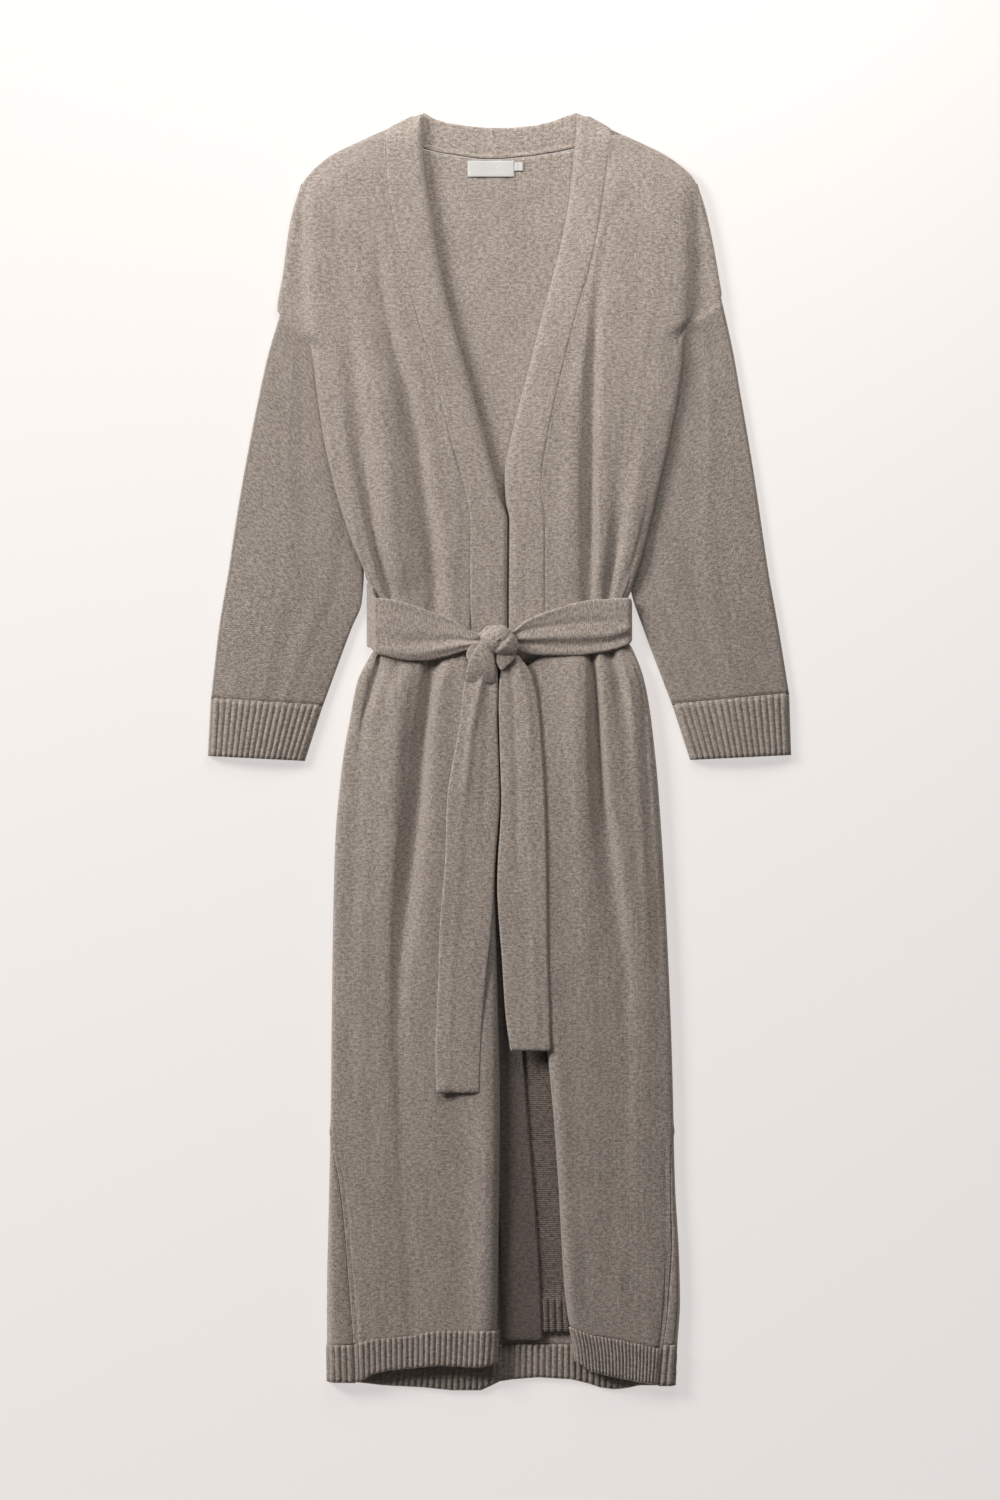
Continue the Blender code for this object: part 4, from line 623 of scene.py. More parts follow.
def smooth_line(points, steps):
    """Centripetal curve through section points, with a number of steps for each span."""
    p = np.asarray(points, float)
    ends = np.vstack([2.0 * p[0] - p[1], p, 2.0 * p[-1] - p[-2]])
    out = [p[0]]
    for i in range(len(p) - 1):
        a, b, c, d = ends[i], ends[i + 1], ends[i + 2], ends[i + 3]
        ta = 0.0
        tb = ta + max(np.linalg.norm(b - a), 1e-6) ** 0.5
        tc = tb + max(np.linalg.norm(c - b), 1e-6) ** 0.5
        td = tc + max(np.linalg.norm(d - c), 1e-6) ** 0.5
        count = steps if np.isscalar(steps) else steps[i]
        for j in range(1, count + 1):
            t = tb + (tc - tb) * j / count
            ab = (a * (tb - t) + b * (t - ta)) / (tb - ta)
            bc = (b * (tc - t) + c * (t - tb)) / (tc - tb)
            cd = (c * (td - t) + d * (t - tc)) / (td - tc)
            abc = (ab * (tc - t) + bc * (t - ta)) / (tc - ta)
            bcd = (bc * (td - t) + cd * (t - tb)) / (td - tb)
            out.append((abc * (tc - t) + bcd * (t - tb)) / (tc - tb))
    return np.array(out)


def evenly(line, count):
    """Resample a section line to count steps of even length."""
    scale = np.array([1.0, MM / CHART_UNIT])
    length = np.concatenate([[0.0], np.cumsum(np.linalg.norm(np.diff(line * scale, axis=0), axis=1))])
    want = np.linspace(0.0, length[-1], count + 1)
    return np.stack([np.interp(want, length, line[:, 0]), np.interp(want, length, line[:, 1])], axis=1)


def roll_rise(reach):
    """Share of its height that a rolled side has reached, that far in from its edge."""
    share = min(reach / SIDE_ROLL, 1.0)
    return (1.0 - (1.0 - share) ** 2) ** 0.5


def side_points(down, side_table, wrap_table, inward):
    """Rolled side of a front from its seam with the back to its flat top, as section points."""
    edge = along(side_table, 1, down)
    foot = along(side_table, 2, down)
    top = along(side_table, 3, down)
    wrap = along(wrap_table, 1, down)
    points = []
    for i, start in enumerate(ROLL_STARTS):
        reach = max(start, wrap + i * WRAP_SPREAD)
        points.append((edge + inward * reach, foot + (top - foot) * roll_rise(reach)))
    return points


def front_section(down, side_table, wrap_table, folds, inner_table, inward):
    """Section line of a front at one station, from its side to its inner end."""
    points = side_points(down, side_table, wrap_table, inward)
    for rows in folds.values():
        points.append((along(rows, 1, down), along(rows, 2, down)))
    edge = along(inner_table, 1, down)
    foot = along(inner_table, 2, down)
    top = along(inner_table, 3, down)
    drop = top - foot
    reach = min(INNER_ROLL, 0.5 * abs(edge - points[-1][0]))
    points.append((edge - inward * reach, top))
    points.append((edge - inward * reach * 0.25, top - 0.3 * drop))
    points.append((edge, foot))
    for i in range(1, len(points)):
        least = points[i - 1][0] + inward * POINT_GAP
        if (points[i][0] - least) * inward < 0.0:
            points[i] = (least, points[i][1])
    return points


def hem_down(station, across, hem_top):
    """Down position of a panel's row: straight rows that end along the hem seam."""
    if station <= HEM_BLEND_FROM:
        return np.full_like(across, station)
    rows = np.asarray(hem_top, float)
    end = np.interp(across, rows[:, 0], rows[:, 1]) - SEAM_GAP * MM / CHART_UNIT
    share = (station - HEM_BLEND_FROM) / (np.mean(rows[:, 1]) - HEM_BLEND_FROM)
    return HEM_BLEND_FROM + (end - HEM_BLEND_FROM) * min(share, 1.0)


def back_edges(down):
    """Side edges of the back at one station, as across positions."""
    edges = []
    for flat_edge, side_table in ((BACK_RIGHT_EDGE, RIGHT_SIDE), (BACK_LEFT_EDGE, LEFT_SIDE)):
        table = flat_edge if down <= flat_edge[-1][0] else side_table
        edges.append(along(table, 1, down))
    return edges


def wrap_points(down, edge, side_table, wrap_table, inward):
    """Upturned rim of the back, and its wrap to the front near the hem, from the end down to the rim."""
    wrap = along(wrap_table, 1, down)
    foot = along(side_table, 2, max(down, WRAP_HEIGHTS_FROM))
    top = along(side_table, 3, max(down, WRAP_HEIGHTS_FROM))
    wrapped = min(wrap, 1.0)
    points = []
    for i in range(WRAP_STEPS):
        share = 1.0 - i / WRAP_STEPS
        reach = wrap * share
        lift = (foot - RIM_DROP) + 0.5 * share * (1.0 - wrapped)
        lift = lift + (RIM_DROP - 0.2) * min(wrap / WRAP_FULL, 1.0)
        height = lift + (top - foot) * roll_rise(reach)
        points.append((edge + inward * (reach - WRAP_GAP * wrapped * share), height))
    for reach, share in RIM_TURN:
        points.append((edge + inward * reach, RIM_RADIUS * share))
    points.append((edge + inward * RIM_RADIUS, 0.0))
    return points


def back_section(down, flat_steps):
    """Section of the back at one station, from one upturned end across the flat to the other."""
    right, left = back_edges(down)
    first = wrap_points(down, right, RIGHT_SIDE, RIGHT_WRAP, 1.0)
    last = wrap_points(down, left, LEFT_SIDE, LEFT_WRAP, -1.0)
    start = first[-1][0]
    stop = last[-1][0]
    flat = [(start + (stop - start) * j / flat_steps, 0.0) for j in range(1, flat_steps)]
    return np.array(first + flat + last[::-1]), len(first)


def soft_noise(across, down, size, seed):
    """Smooth random relief from -1 to 1, with lumps of the given size across and down."""
    lattice = np.random.default_rng(seed).uniform(-1.0, 1.0, (LATTICE, LATTICE))
    u = np.asarray(across, float) / size[0]
    v = np.asarray(down, float) / size[1]
    iu = np.floor(u).astype(int)
    iv = np.floor(v).astype(int)
    fu = u - iu
    fv = v - iv
    iu, iu_after = iu % LATTICE, (iu + 1) % LATTICE
    iv, iv_after = iv % LATTICE, (iv + 1) % LATTICE
    fu = fu * fu * (3.0 - 2.0 * fu)
    fv = fv * fv * (3.0 - 2.0 * fv)
    low = lattice[iu, iv] * (1.0 - fu) + lattice[iu_after, iv] * fu
    high = lattice[iu, iv_after] * (1.0 - fu) + lattice[iu_after, iv_after] * fu
    return low * (1.0 - fv) + high * fv


def crease_relief(main, cross, creases):
    """Height that soft creases add, each along its line, fading out at both ends."""
    total = np.zeros(np.broadcast(main, cross).shape)
    for width, height, line in creases:
        points = np.asarray(line, float)
        middle = np.interp(main, points[:, 0], points[:, 1])
        share = (main - points[0, 0]) / (points[-1, 0] - points[0, 0])
        inside = np.minimum(share + CREASE_RUN_OUT, 1.0 + CREASE_RUN_OUT - share)
        fade = np.clip(inside * CREASE_FADE, 0.0, 1.0)
        fade = fade * fade * (3.0 - 2.0 * fade)
        total = total + height * fade * np.exp(-((cross - middle) / width) ** 2)
    return total


def knit_relief(across, down, seed, amount):
    """Uneven lie of a soft knit: long lumps along the wales and small ones between them."""
    long_lumps = soft_noise(across, down, LONG_LUMPS, seed)
    short_lumps = soft_noise(across, down, SHORT_LUMPS, seed + 1)
    return amount * (LONG_LUMP_SHARE * long_lumps + SHORT_LUMP_SHARE * short_lumps)


def arc_map(points, keep_across=False):
    """Place on the flat cloth of every point, in metres: across from the middle column, and along."""
    across = np.linalg.norm(np.diff(points, axis=1), axis=2)
    across = np.concatenate([np.zeros((len(points), 1)), np.cumsum(across, axis=1)], axis=1)
    middle = points.shape[1] // 2
    across = across - across[:, middle:middle + 1]
    if keep_across:
        sign = 1.0 if points[0, -1, 0] > points[0, 0, 0] else -1.0
        across = points[:, middle, 0][:, None] + sign * across
    rows = np.linalg.norm(np.diff(points, axis=0), axis=2).mean(axis=1)
    rows = np.concatenate([[0.0], np.cumsum(rows)])
    return np.stack([across, np.broadcast_to(rows[:, None], across.shape)], axis=2)


def outward(points, up):
    """Unit normals of a grid of points, turned so that they point up or down on the whole."""
    normal = np.cross(np.gradient(points, axis=1), np.gradient(points, axis=0))
    normal /= np.maximum(np.linalg.norm(normal, axis=2, keepdims=True), 1e-12)
    if (normal[..., 2].mean() > 0.0) != up:
        normal = -normal
    return normal


def cloth_wall(name, outer, up, thickness, rounded, rib_turn=None, rib_inside=False,
               keep_across=False, rib_rows=None):
    """Closed wall of cloth from a grid of outer points.

    rounded says for the first row, last row, first column and last column how far that edge is rounded,
    from 0 for a seam to 1 for a free edge. rib_turn gives each column its place among the ribs, and
    rib_rows says which rows have them. rib_inside raises them on the cloth's inner face, and on the outer
    face where it faces up.
    """
    rows, cols = outer.shape[:2]
    normal = outward(outer, up)
    inner = outer - normal * thickness * MM
    where = arc_map(outer, keep_across)
    edge = [(0, j) for j in range(cols - 1)] + [(i, cols - 1) for i in range(rows - 1)]
    edge += [(rows - 1, j) for j in range(cols - 1, 0, -1)] + [(i, 0) for i in range(rows - 1, 0, -1)]
    middle = []
    for i, j in edge:
        out = np.zeros(3)
        for on_edge, share, inside in (
            (i == 0, rounded[0], (1, j)), (i == rows - 1, rounded[1], (rows - 2, j)),
            (j == 0, rounded[2], (i, 1)), (j == cols - 1, rounded[3], (i, cols - 2)),
        ):
            if on_edge:
                step = outer[i, j] - outer[inside]
                out += share * step / np.linalg.norm(step)
        middle.append(0.5 * (outer[i, j] + inner[i, j]) + out * 0.5 * thickness * MM)
    points = np.concatenate([outer.reshape(-1, 3), inner.reshape(-1, 3), np.array(middle)])
    base = rows * cols
    index = np.arange(base).reshape(rows, cols)
    corners = [index[:-1, :-1], index[:-1, 1:], index[1:, 1:], index[1:, :-1]]
    quads = np.stack(corners, axis=-1).reshape(-1, 4)
    faces = [quads, quads[:, ::-1] + base]
    around = np.array([i * cols + j for i, j in edge])
    after = np.roll(around, -1)
    ring = 2 * base + np.arange(len(edge))
    ring_after = np.roll(ring, -1)
    faces.append(np.stack([after, around, ring, ring_after], axis=-1))
    faces.append(np.stack([ring_after, ring, around + base, after + base], axis=-1))
    face = np.concatenate(faces)
    inside = np.zeros(len(face), int)
    inside[len(quads):2 * len(quads)] = 1
    flat = where.reshape(-1, 2)
    cloth_place = np.concatenate([flat, flat, flat[around]])
    ribs = None
    if rib_turn is not None:
        turn = np.tile(rib_turn, rows)
        out = np.zeros_like(points)
        lift = normal.reshape(-1, 3)
        if rib_inside:
            out[base:2 * base] = -lift
            out[:base] = np.where(lift[:, 2:] > FACES_UP, lift, 0.0)
        else:
            out[:base] = lift
        start = np.repeat(np.ones(rows) if rib_rows is None else rib_rows, cols)
        out = out * np.concatenate([start, start, np.ones(len(edge))])[:, None]
        ribs = (np.concatenate([turn, turn, turn[around]]), out)
    return cloth_object(name, points, face, cloth_place, inside, ribs)


def cloth_tube(name, outer, inner, cloth_place, rib_turn=None, rib_out=None):
    """Closed wall of a flattened tube from matching rings of outer and inner points, with rounded rims."""
    count, sides = outer.shape[:2]
    rims = [0.5 * (outer[k] + inner[k]) for k in (0, -1)]
    points = np.concatenate([outer.reshape(-1, 3), inner.reshape(-1, 3), rims[0], rims[1]])
    base = count * sides
    index = np.arange(base).reshape(count, sides)
    after = np.roll(index, -1, axis=1)
    quads = np.stack([index[:-1], after[:-1], after[1:], index[1:]], axis=-1).reshape(-1, 4)
    faces = [quads, quads[:, ::-1] + base]
    first = 2 * base + np.arange(sides)
    first_after = np.roll(first, -1)
    last = first + sides
    last_after = first_after + sides
    faces.append(np.stack([after[0], index[0], first, first_after], axis=-1))
    faces.append(np.stack([first_after, first, index[0] + base, after[0] + base], axis=-1))
    faces.append(np.stack([index[-1], after[-1], last_after, last], axis=-1))
    faces.append(np.stack([last, last_after, after[-1] + base, index[-1] + base], axis=-1))
    face = np.concatenate(faces)
    inside = np.zeros(len(face), int)
    inside[len(quads):2 * len(quads)] = 1
    flat = cloth_place.reshape(-1, 2)
    flat = np.concatenate([flat, flat, cloth_place[0], cloth_place[-1]])
    ribs = None
    if rib_turn is not None:
        turn = np.tile(rib_turn, count)
        turn = np.concatenate([turn, turn, rib_turn, rib_turn])
        out = np.zeros_like(points)
        out[:base] = rib_out.reshape(-1, 3)
        ribs = (turn, out)
    return cloth_object(name, points, face, flat, inside, ribs)


def cloth_object(name, points, faces, cloth_place, inside, ribs=None):
    """Object with outward faces, a UV map in metres along the cloth, and attributes for its ribs."""
    mesh = bpy.data.meshes.new(name)
    mesh.vertices.add(len(points))
    mesh.vertices.foreach_set("co", np.asarray(points, np.float32).ravel())
    mesh.loops.add(faces.size)
    mesh.loops.foreach_set("vertex_index", faces.astype(np.int32).ravel())
    mesh.polygons.add(len(faces))
    mesh.polygons.foreach_set("loop_start", np.arange(0, faces.size, 4, dtype=np.int32))
    mesh.update(calc_edges=True)
    layer = mesh.uv_layers.new(name="cloth")
    layer.uv.foreach_set("vector", np.asarray(cloth_place[faces.ravel()], np.float32).ravel())
    mesh.polygons.foreach_set("material_index", inside.astype(np.int32))
    if ribs is not None:
        turn = mesh.attributes.new("rib_turn", "FLOAT", "POINT")
        turn.data.foreach_set("value", ribs[0].astype(np.float32))
        out = mesh.attributes.new("rib_out", "FLOAT_VECTOR", "POINT")
        out.data.foreach_set("vector", ribs[1].astype(np.float32).ravel())
    mesh.validate()
    if enclosed_volume(mesh) < 0.0:
        mesh.flip_normals()
    mesh.shade_smooth()
    item = bpy.data.objects.new(name, mesh)
    bpy.context.scene.collection.objects.link(item)
    return item


def enclosed_volume(mesh):
    """Volume inside a closed mesh, negative where its faces point in."""
    mesh.calc_loop_triangles()
    corners = np.empty(len(mesh.loop_triangles) * 3, np.int32)
    mesh.loop_triangles.foreach_get("vertices", corners)
    place_of = np.empty(len(mesh.vertices) * 3, np.float32)
    mesh.vertices.foreach_get("co", place_of)
    tri = place_of.reshape(-1, 3)[corners.reshape(-1, 3)].astype(float)
    return float(np.einsum("ij,ij->i", tri[:, 0], np.cross(tri[:, 1], tri[:, 2])).sum() / 6.0)


def wearing(item, materials):
    """Give a piece its materials, the outer face's first."""
    item.data.materials.clear()
    for material in materials:
        item.data.materials.append(material)


def tuck(grid, side, reach, sink=0.2):
    """Move one edge of a grid under its neighbour at a seam, by a reach and a sink in millimetres."""
    edge = {"first": (0, 1), "last": (-1, -2), "left": ((slice(None), 0), (slice(None), 1)),
            "right": ((slice(None), -1), (slice(None), -2))}[side]
    out = grid[edge[0]] - grid[edge[1]]
    out = out / np.maximum(np.linalg.norm(out, axis=-1, keepdims=True), 1e-12)
    grid[edge[0]] = grid[edge[0]] + out * reach * MM
    grid[edge[0]][..., 2] -= sink * MM
    return grid


def hand_over(item, node):
    """Hide the node's solid in the imported model and attach the cloth piece to the root body."""
    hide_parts(node)
    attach(item, "root")


def lay_wall(node, grid, up, rounded, kinds, slot, lies_on, thickness=CLOTH, turn=None, **shape):
    """Wall of one node from its grid, with its finishes and any ribs, handed over."""
    item = cloth_wall("knit_" + node, grid, up, thickness, rounded, rib_turn=turn, **shape)
    wearing(item, [cloth_finish(kind) for kind in kinds])
    if turn is not None:
        item = raise_ribs(item, kinds[0])
    hand_over(item, node)


def sew_together(parts):
    """Join parts into the first of them."""
    with bpy.context.temp_override(
        active_object=parts[0], selected_editable_objects=parts, selected_objects=parts,
    ):
        bpy.ops.object.join()
    return parts[0]


# Materials

def node_at(tree, kind, **values):
    """Add a shader or geometry node and set its plain properties."""
    node = tree.nodes.new(kind)
    for key, value in values.items():
        setattr(node, key, value)
    return node


def maths(tree, operation, first, second=None):
    """Math node of one or two values or sockets."""
    node = node_at(tree, "ShaderNodeMath", operation=operation)
    for socket, value in zip(node.inputs, (first, second)):
        if value is None:
            continue
        if isinstance(value, bpy.types.NodeSocket):
            tree.links.new(value, socket)
        else:
            socket.default_value = value
    return node.outputs[0]


def ripple(tree, value):
    """Size of the sine of a value: a row of round ridges."""
    return maths(tree, "ABSOLUTE", maths(tree, "SINE", value))


def cloth_shader(name):
    """New material with its tree, its shader, its place along the cloth, and that place's two parts."""
    material = bpy.data.materials.new(name)
    material.use_nodes = True
    tree = material.node_tree
    cloth_place = node_at(tree, "ShaderNodeUVMap", uv_map="cloth").outputs["UV"]
    split = node_at(tree, "ShaderNodeSeparateXYZ")
    tree.links.new(cloth_place, split.inputs[0])
    return material, tree, tree.nodes["Principled BSDF"], cloth_place, split.outputs


def add_relief(tree, shader, relief, strength, depth):
    """Fine relief of a finish, its depth in metres."""
    bump = node_at(tree, "ShaderNodeBump")
    bump.inputs["Strength"].default_value = strength
    bump.inputs["Distance"].default_value = depth
    tree.links.new(relief, bump.inputs["Height"])
    tree.links.new(bump.outputs["Normal"], shader.inputs["Normal"])


def yarn_noise(tree, place_out, scale, stretch, detail):
    """Noise along the cloth, scale in lumps for a metre, stretched along the wales."""
    spread = node_at(tree, "ShaderNodeMapping")
    spread.inputs["Scale"].default_value = (scale, scale / stretch, scale)
    tree.links.new(place_out, spread.inputs["Vector"])
    noise = node_at(tree, "ShaderNodeTexNoise", noise_dimensions="2D")
    noise.inputs["Scale"].default_value = 1.0
    noise.inputs["Detail"].default_value = detail
    noise.inputs["Roughness"].default_value = 0.6
    tree.links.new(spread.outputs["Vector"], noise.inputs["Vector"])
    return noise.outputs["Fac"]


def stitch_face(tree, u, v, wale, course):
    """Relief of the smooth side: columns of V-shaped loops."""
    column = maths(tree, "FRACT", maths(tree, "DIVIDE", u, wale))
    from_middle = maths(tree, "ABSOLUTE", maths(tree, "SUBTRACT", column, 0.5))
    lean = maths(tree, "MULTIPLY", from_middle, LOOP_LEAN)
    loop = maths(tree, "ADD", maths(tree, "DIVIDE", v, course), lean)
    loop = ripple(tree, maths(tree, "MULTIPLY", loop, np.pi))
    leg = maths(tree, "POWER", ripple(tree, maths(tree, "MULTIPLY", from_middle, 2.0 * np.pi)), LEG_ROUND)
    loop = maths(tree, "ADD", maths(tree, "MULTIPLY", loop, LOOP_RISE[0]), LOOP_RISE[1])
    return maths(tree, "MULTIPLY", leg, loop)


def purl_face(tree, u, v, wale, course):
    """Relief of the purl side: rows of small bumps, moved half a loop from row to row."""
    row = maths(tree, "DIVIDE", v, course)
    shift = maths(tree, "MULTIPLY", maths(tree, "FLOOR", row), 0.5)
    bump = maths(tree, "SINE", maths(tree, "MULTIPLY", maths(tree, "FRACT", row), np.pi))
    across = maths(tree, "ADD", maths(tree, "DIVIDE", u, wale), shift)
    across = ripple(tree, maths(tree, "MULTIPLY", across, np.pi))
    across = maths(tree, "ADD", maths(tree, "MULTIPLY", across, PURL_RISE[0]), PURL_RISE[1])
    return maths(tree, "MULTIPLY", bump, across)


def knit_material(name, colour, wale, course, contrast, depth, nap, purl=False):
    """Heathered wool knit: mixed light and dark fibres, loops, fuzz and a soft nap."""
    material, tree, shader, cloth_place, (u, v, _) = cloth_shader(name)
    wander = yarn_noise(tree, cloth_place, *WANDER)
    u = maths(tree, "ADD", u, maths(tree, "MULTIPLY", maths(tree, "SUBTRACT", wander, 0.5), WANDER_WIDTH))
    loops = (purl_face if purl else stitch_face)(tree, u, v, wale, course)
    tone = None
    fibres = {}
    for layer, (lumps, stretch, detail, share) in FIBRE_LAYERS.items():
        fibres[layer] = yarn_noise(tree, cloth_place, lumps, stretch, detail)
        part = maths(tree, "MULTIPLY", maths(tree, "SUBTRACT", fibres[layer], 0.5), share)
        tone = part if tone is None else maths(tree, "ADD", tone, part)
    # The loops' relief tints the colour: painted shade between loops and painted highlight on their legs
    part = maths(tree, "MULTIPLY", maths(tree, "SUBTRACT", loops, LOOP_MIDDLE), LOOP_SHADE_SHARE)
    tone = maths(tree, "ADD", tone, part)
    tone = maths(tree, "ADD", maths(tree, "MULTIPLY", tone, contrast), 0.5)
    ramp = node_at(tree, "ShaderNodeValToRGB")
    tree.links.new(tone, ramp.inputs["Fac"])
    colour = np.asarray(colour[:3], float)
    while len(ramp.color_ramp.elements) < len(FIBRE_TONES):
        ramp.color_ramp.elements.new(0.5)
    for element, (at, gain, tint) in zip(ramp.color_ramp.elements, FIBRE_TONES):
        element.position = at
        element.color = (*np.clip(colour * gain * np.asarray(tint), 0.0, 1.0), 1.0)
    tree.links.new(ramp.outputs["Color"], shader.inputs["Base Color"])
    fuzz = yarn_noise(tree, cloth_place, *FUZZ)
    relief = None
    for layer, share in zip((loops, fuzz, fibres["flock"]), RELIEF_SHARES):
        part = maths(tree, "MULTIPLY", layer, share)
        relief = part if relief is None else maths(tree, "ADD", relief, part)
    add_relief(tree, shader, relief, KNIT_BUMP, depth)
    matt = maths(tree, "ADD", maths(tree, "MULTIPLY", fibres["flock"], MATT_SPREAD), MATT_LEAST)
    tree.links.new(matt, shader.inputs["Roughness"])
    shader.inputs["Specular IOR Level"].default_value = 0.2
    shader.inputs["Sheen Weight"].default_value = nap
    shader.inputs["Sheen Roughness"].default_value = NAP_ROUGHNESS
    shader.inputs["Sheen Tint"].default_value = NAP_TINT
    return material


def tape_material(name, colour):
    """Smooth woven tape with a fine plain weave."""
    material, tree, shader, cloth_place, (u, v, _) = cloth_shader(name)
    warp = ripple(tree, maths(tree, "MULTIPLY", u, WARP_TURN))
    weft = ripple(tree, maths(tree, "MULTIPLY", v, WEFT_TURN))
    weave = maths(tree, "MULTIPLY", warp, weft)
    noise = yarn_noise(tree, cloth_place, 300.0, 1.0, 2.0)
    # The weave's relief also darkens the colour between threads: painted shade
    tone = maths(tree, "ADD", maths(tree, "MULTIPLY", weave, 0.5), maths(tree, "MULTIPLY", noise, 0.5))
    ramp = node_at(tree, "ShaderNodeValToRGB")
    tree.links.new(tone, ramp.inputs["Fac"])
    colour = np.asarray(colour[:3], float)
    ramp.color_ramp.elements[0].color = (*np.clip(colour * 0.88, 0.0, 1.0), 1.0)
    ramp.color_ramp.elements[1].color = (*np.clip(colour * 1.06, 0.0, 1.0), 1.0)
    tree.links.new(ramp.outputs["Color"], shader.inputs["Base Color"])
    add_relief(tree, shader, weave, 0.4, 0.0002)
    shader.inputs["Roughness"].default_value = 0.55
    shader.inputs["Sheen Weight"].default_value = 0.1
    return material


def cloth_finish(kind):
    """Material of one kind of cloth, made once from the settings."""
    found = bpy.data.materials.get(kind)
    if found is not None:
        return found
    yarn = bpy.context.scene.cardigan_yarn
    if kind == "woven_tape":
        return tape_material(kind, bpy.context.scene.cardigan_label.tape_colour)
    if kind == "seam_yarn":
        return tape_material(kind, [c * 0.8 for c in yarn.colour])
    colour, shade, depth, purl = {
        "smooth_knit": (yarn.colour, 1.0, 0.0009, False),
        # The sleeves' knit is the smooth knit made darker: painted shade
        "sleeve_shaded_knit": (yarn.colour, 0.9, 0.0009, False),
        "rib_knit": (yarn.colour, 0.94, 0.0008, False),
        "band_knit": (yarn.colour, 1.02, 0.0008, False),
        "belt_knit": (yarn.colour, 1.0, 0.0007, False),
        "purl_knit": (yarn.inside_colour, 1.0, 0.0011, True),
        # The last two kinds are painted shade: darkened copies of the knit that stand in for the shadow on
        # the band below the belt and on the pleat
        "painted_shade_knit": (yarn.painted_shade_colour, 1.0, 0.0008, False),
        "painted_shade_purl": (yarn.painted_shade_colour, 1.25, 0.0011, True),
    }[kind]
    shaded = [c * shade for c in colour]
    contrast = yarn.heather * (PURL_CONTRAST if purl else 1.0)
    return knit_material(
        kind, shaded, yarn.wale_width, yarn.course_height, contrast, depth, yarn.nap, purl=purl,
    )


# Geometry Nodes

def node_group(name, inputs):
    """Geometry node tree with named inputs, and its ends."""
    tree = bpy.data.node_groups.new(name, "GeometryNodeTree")
    tree.is_modifier = True
    face = tree.interface
    face.new_socket(name="Geometry", in_out="INPUT", socket_type="NodeSocketGeometry")
    for label, kind in inputs:
        face.new_socket(name=label, in_out="INPUT", socket_type=kind)
    face.new_socket(name="Geometry", in_out="OUTPUT", socket_type="NodeSocketGeometry")
    start = tree.nodes.new("NodeGroupInput")
    end = tree.nodes.new("NodeGroupOutput")
    return tree, start, end


def finish_tree(tree, start, end, shape):
    """End a tree in Realize Instances and Set Material."""
    real = tree.nodes.new("GeometryNodeRealizeInstances")
    finish = tree.nodes.new("GeometryNodeSetMaterial")
    tree.links.new(shape, real.inputs["Geometry"])
    tree.links.new(real.outputs["Geometry"], finish.inputs["Geometry"])
    tree.links.new(start.outputs["Material"], finish.inputs["Material"])
    tree.links.new(finish.outputs["Geometry"], end.inputs["Geometry"])


def rib_tree():
    """Tree that raises rounded ribs on a strip, by the place of each point among them."""
    found = bpy.data.node_groups.get("Raised ribs")
    if found is not None:
        return found
    tree, start, end = node_group("Raised ribs", (
        ("Rib Height", "NodeSocketFloat"), ("Rib Fullness", "NodeSocketFloat"),
        ("Material", "NodeSocketMaterial"),
    ))
    turn = node_at(tree, "GeometryNodeInputNamedAttribute", data_type="FLOAT")
    turn.inputs["Name"].default_value = "rib_turn"
    out = node_at(tree, "GeometryNodeInputNamedAttribute", data_type="FLOAT_VECTOR")
    out.inputs["Name"].default_value = "rib_out"
    wave = maths(tree, "SINE", maths(tree, "MULTIPLY", turn.outputs["Attribute"], np.pi))
    wave = maths(tree, "POWER", maths(tree, "ABSOLUTE", wave), start.outputs["Rib Fullness"])
    lift = maths(tree, "MULTIPLY", wave, start.outputs["Rib Height"])
    offset = node_at(tree, "ShaderNodeVectorMath", operation="SCALE")
    tree.links.new(out.outputs["Attribute"], offset.inputs[0])
    tree.links.new(lift, offset.inputs["Scale"])
    raise_points = tree.nodes.new("GeometryNodeSetPosition")
    tree.links.new(start.outputs["Geometry"], raise_points.inputs["Geometry"])
    tree.links.new(offset.outputs["Vector"], raise_points.inputs["Offset"])
    finish_tree(tree, start, end, raise_points.outputs["Geometry"])
    return tree


def stitch_tree():
    """Tree that lays small loops of yarn along a seam line."""
    found = bpy.data.node_groups.get("Seam stitches")
    if found is not None:
        return found
    tree, start, end = node_group("Seam stitches", (
        ("Stitch Pitch", "NodeSocketFloat"), ("Stitch Length", "NodeSocketFloat"),
        ("Yarn Radius", "NodeSocketFloat"), ("Material", "NodeSocketMaterial"),
    ))
    spaced = node_at(tree, "GeometryNodeCurveToPoints", mode="LENGTH")
    tree.links.new(start.outputs["Geometry"], spaced.inputs["Curve"])
    tree.links.new(start.outputs["Stitch Pitch"], spaced.inputs["Length"])
    loop = tree.nodes.new("GeometryNodeMeshUVSphere")
    loop.inputs["Segments"].default_value = 6
    loop.inputs["Rings"].default_value = 4
    loop.inputs["Radius"].default_value = 1.0
    size = tree.nodes.new("ShaderNodeCombineXYZ")
    tree.links.new(start.outputs["Yarn Radius"], size.inputs["X"])
    tree.links.new(start.outputs["Yarn Radius"], size.inputs["Y"])
    tree.links.new(maths(tree, "MULTIPLY", start.outputs["Stitch Length"], 0.5), size.inputs["Z"])
    lay = tree.nodes.new("GeometryNodeInstanceOnPoints")
    tree.links.new(spaced.outputs["Points"], lay.inputs["Points"])
    tree.links.new(loop.outputs["Mesh"], lay.inputs["Instance"])
    tree.links.new(spaced.outputs["Rotation"], lay.inputs["Rotation"])
    tree.links.new(size.outputs["Vector"], lay.inputs["Scale"])
    finish_tree(tree, start, end, lay.outputs["Instances"])
    return tree


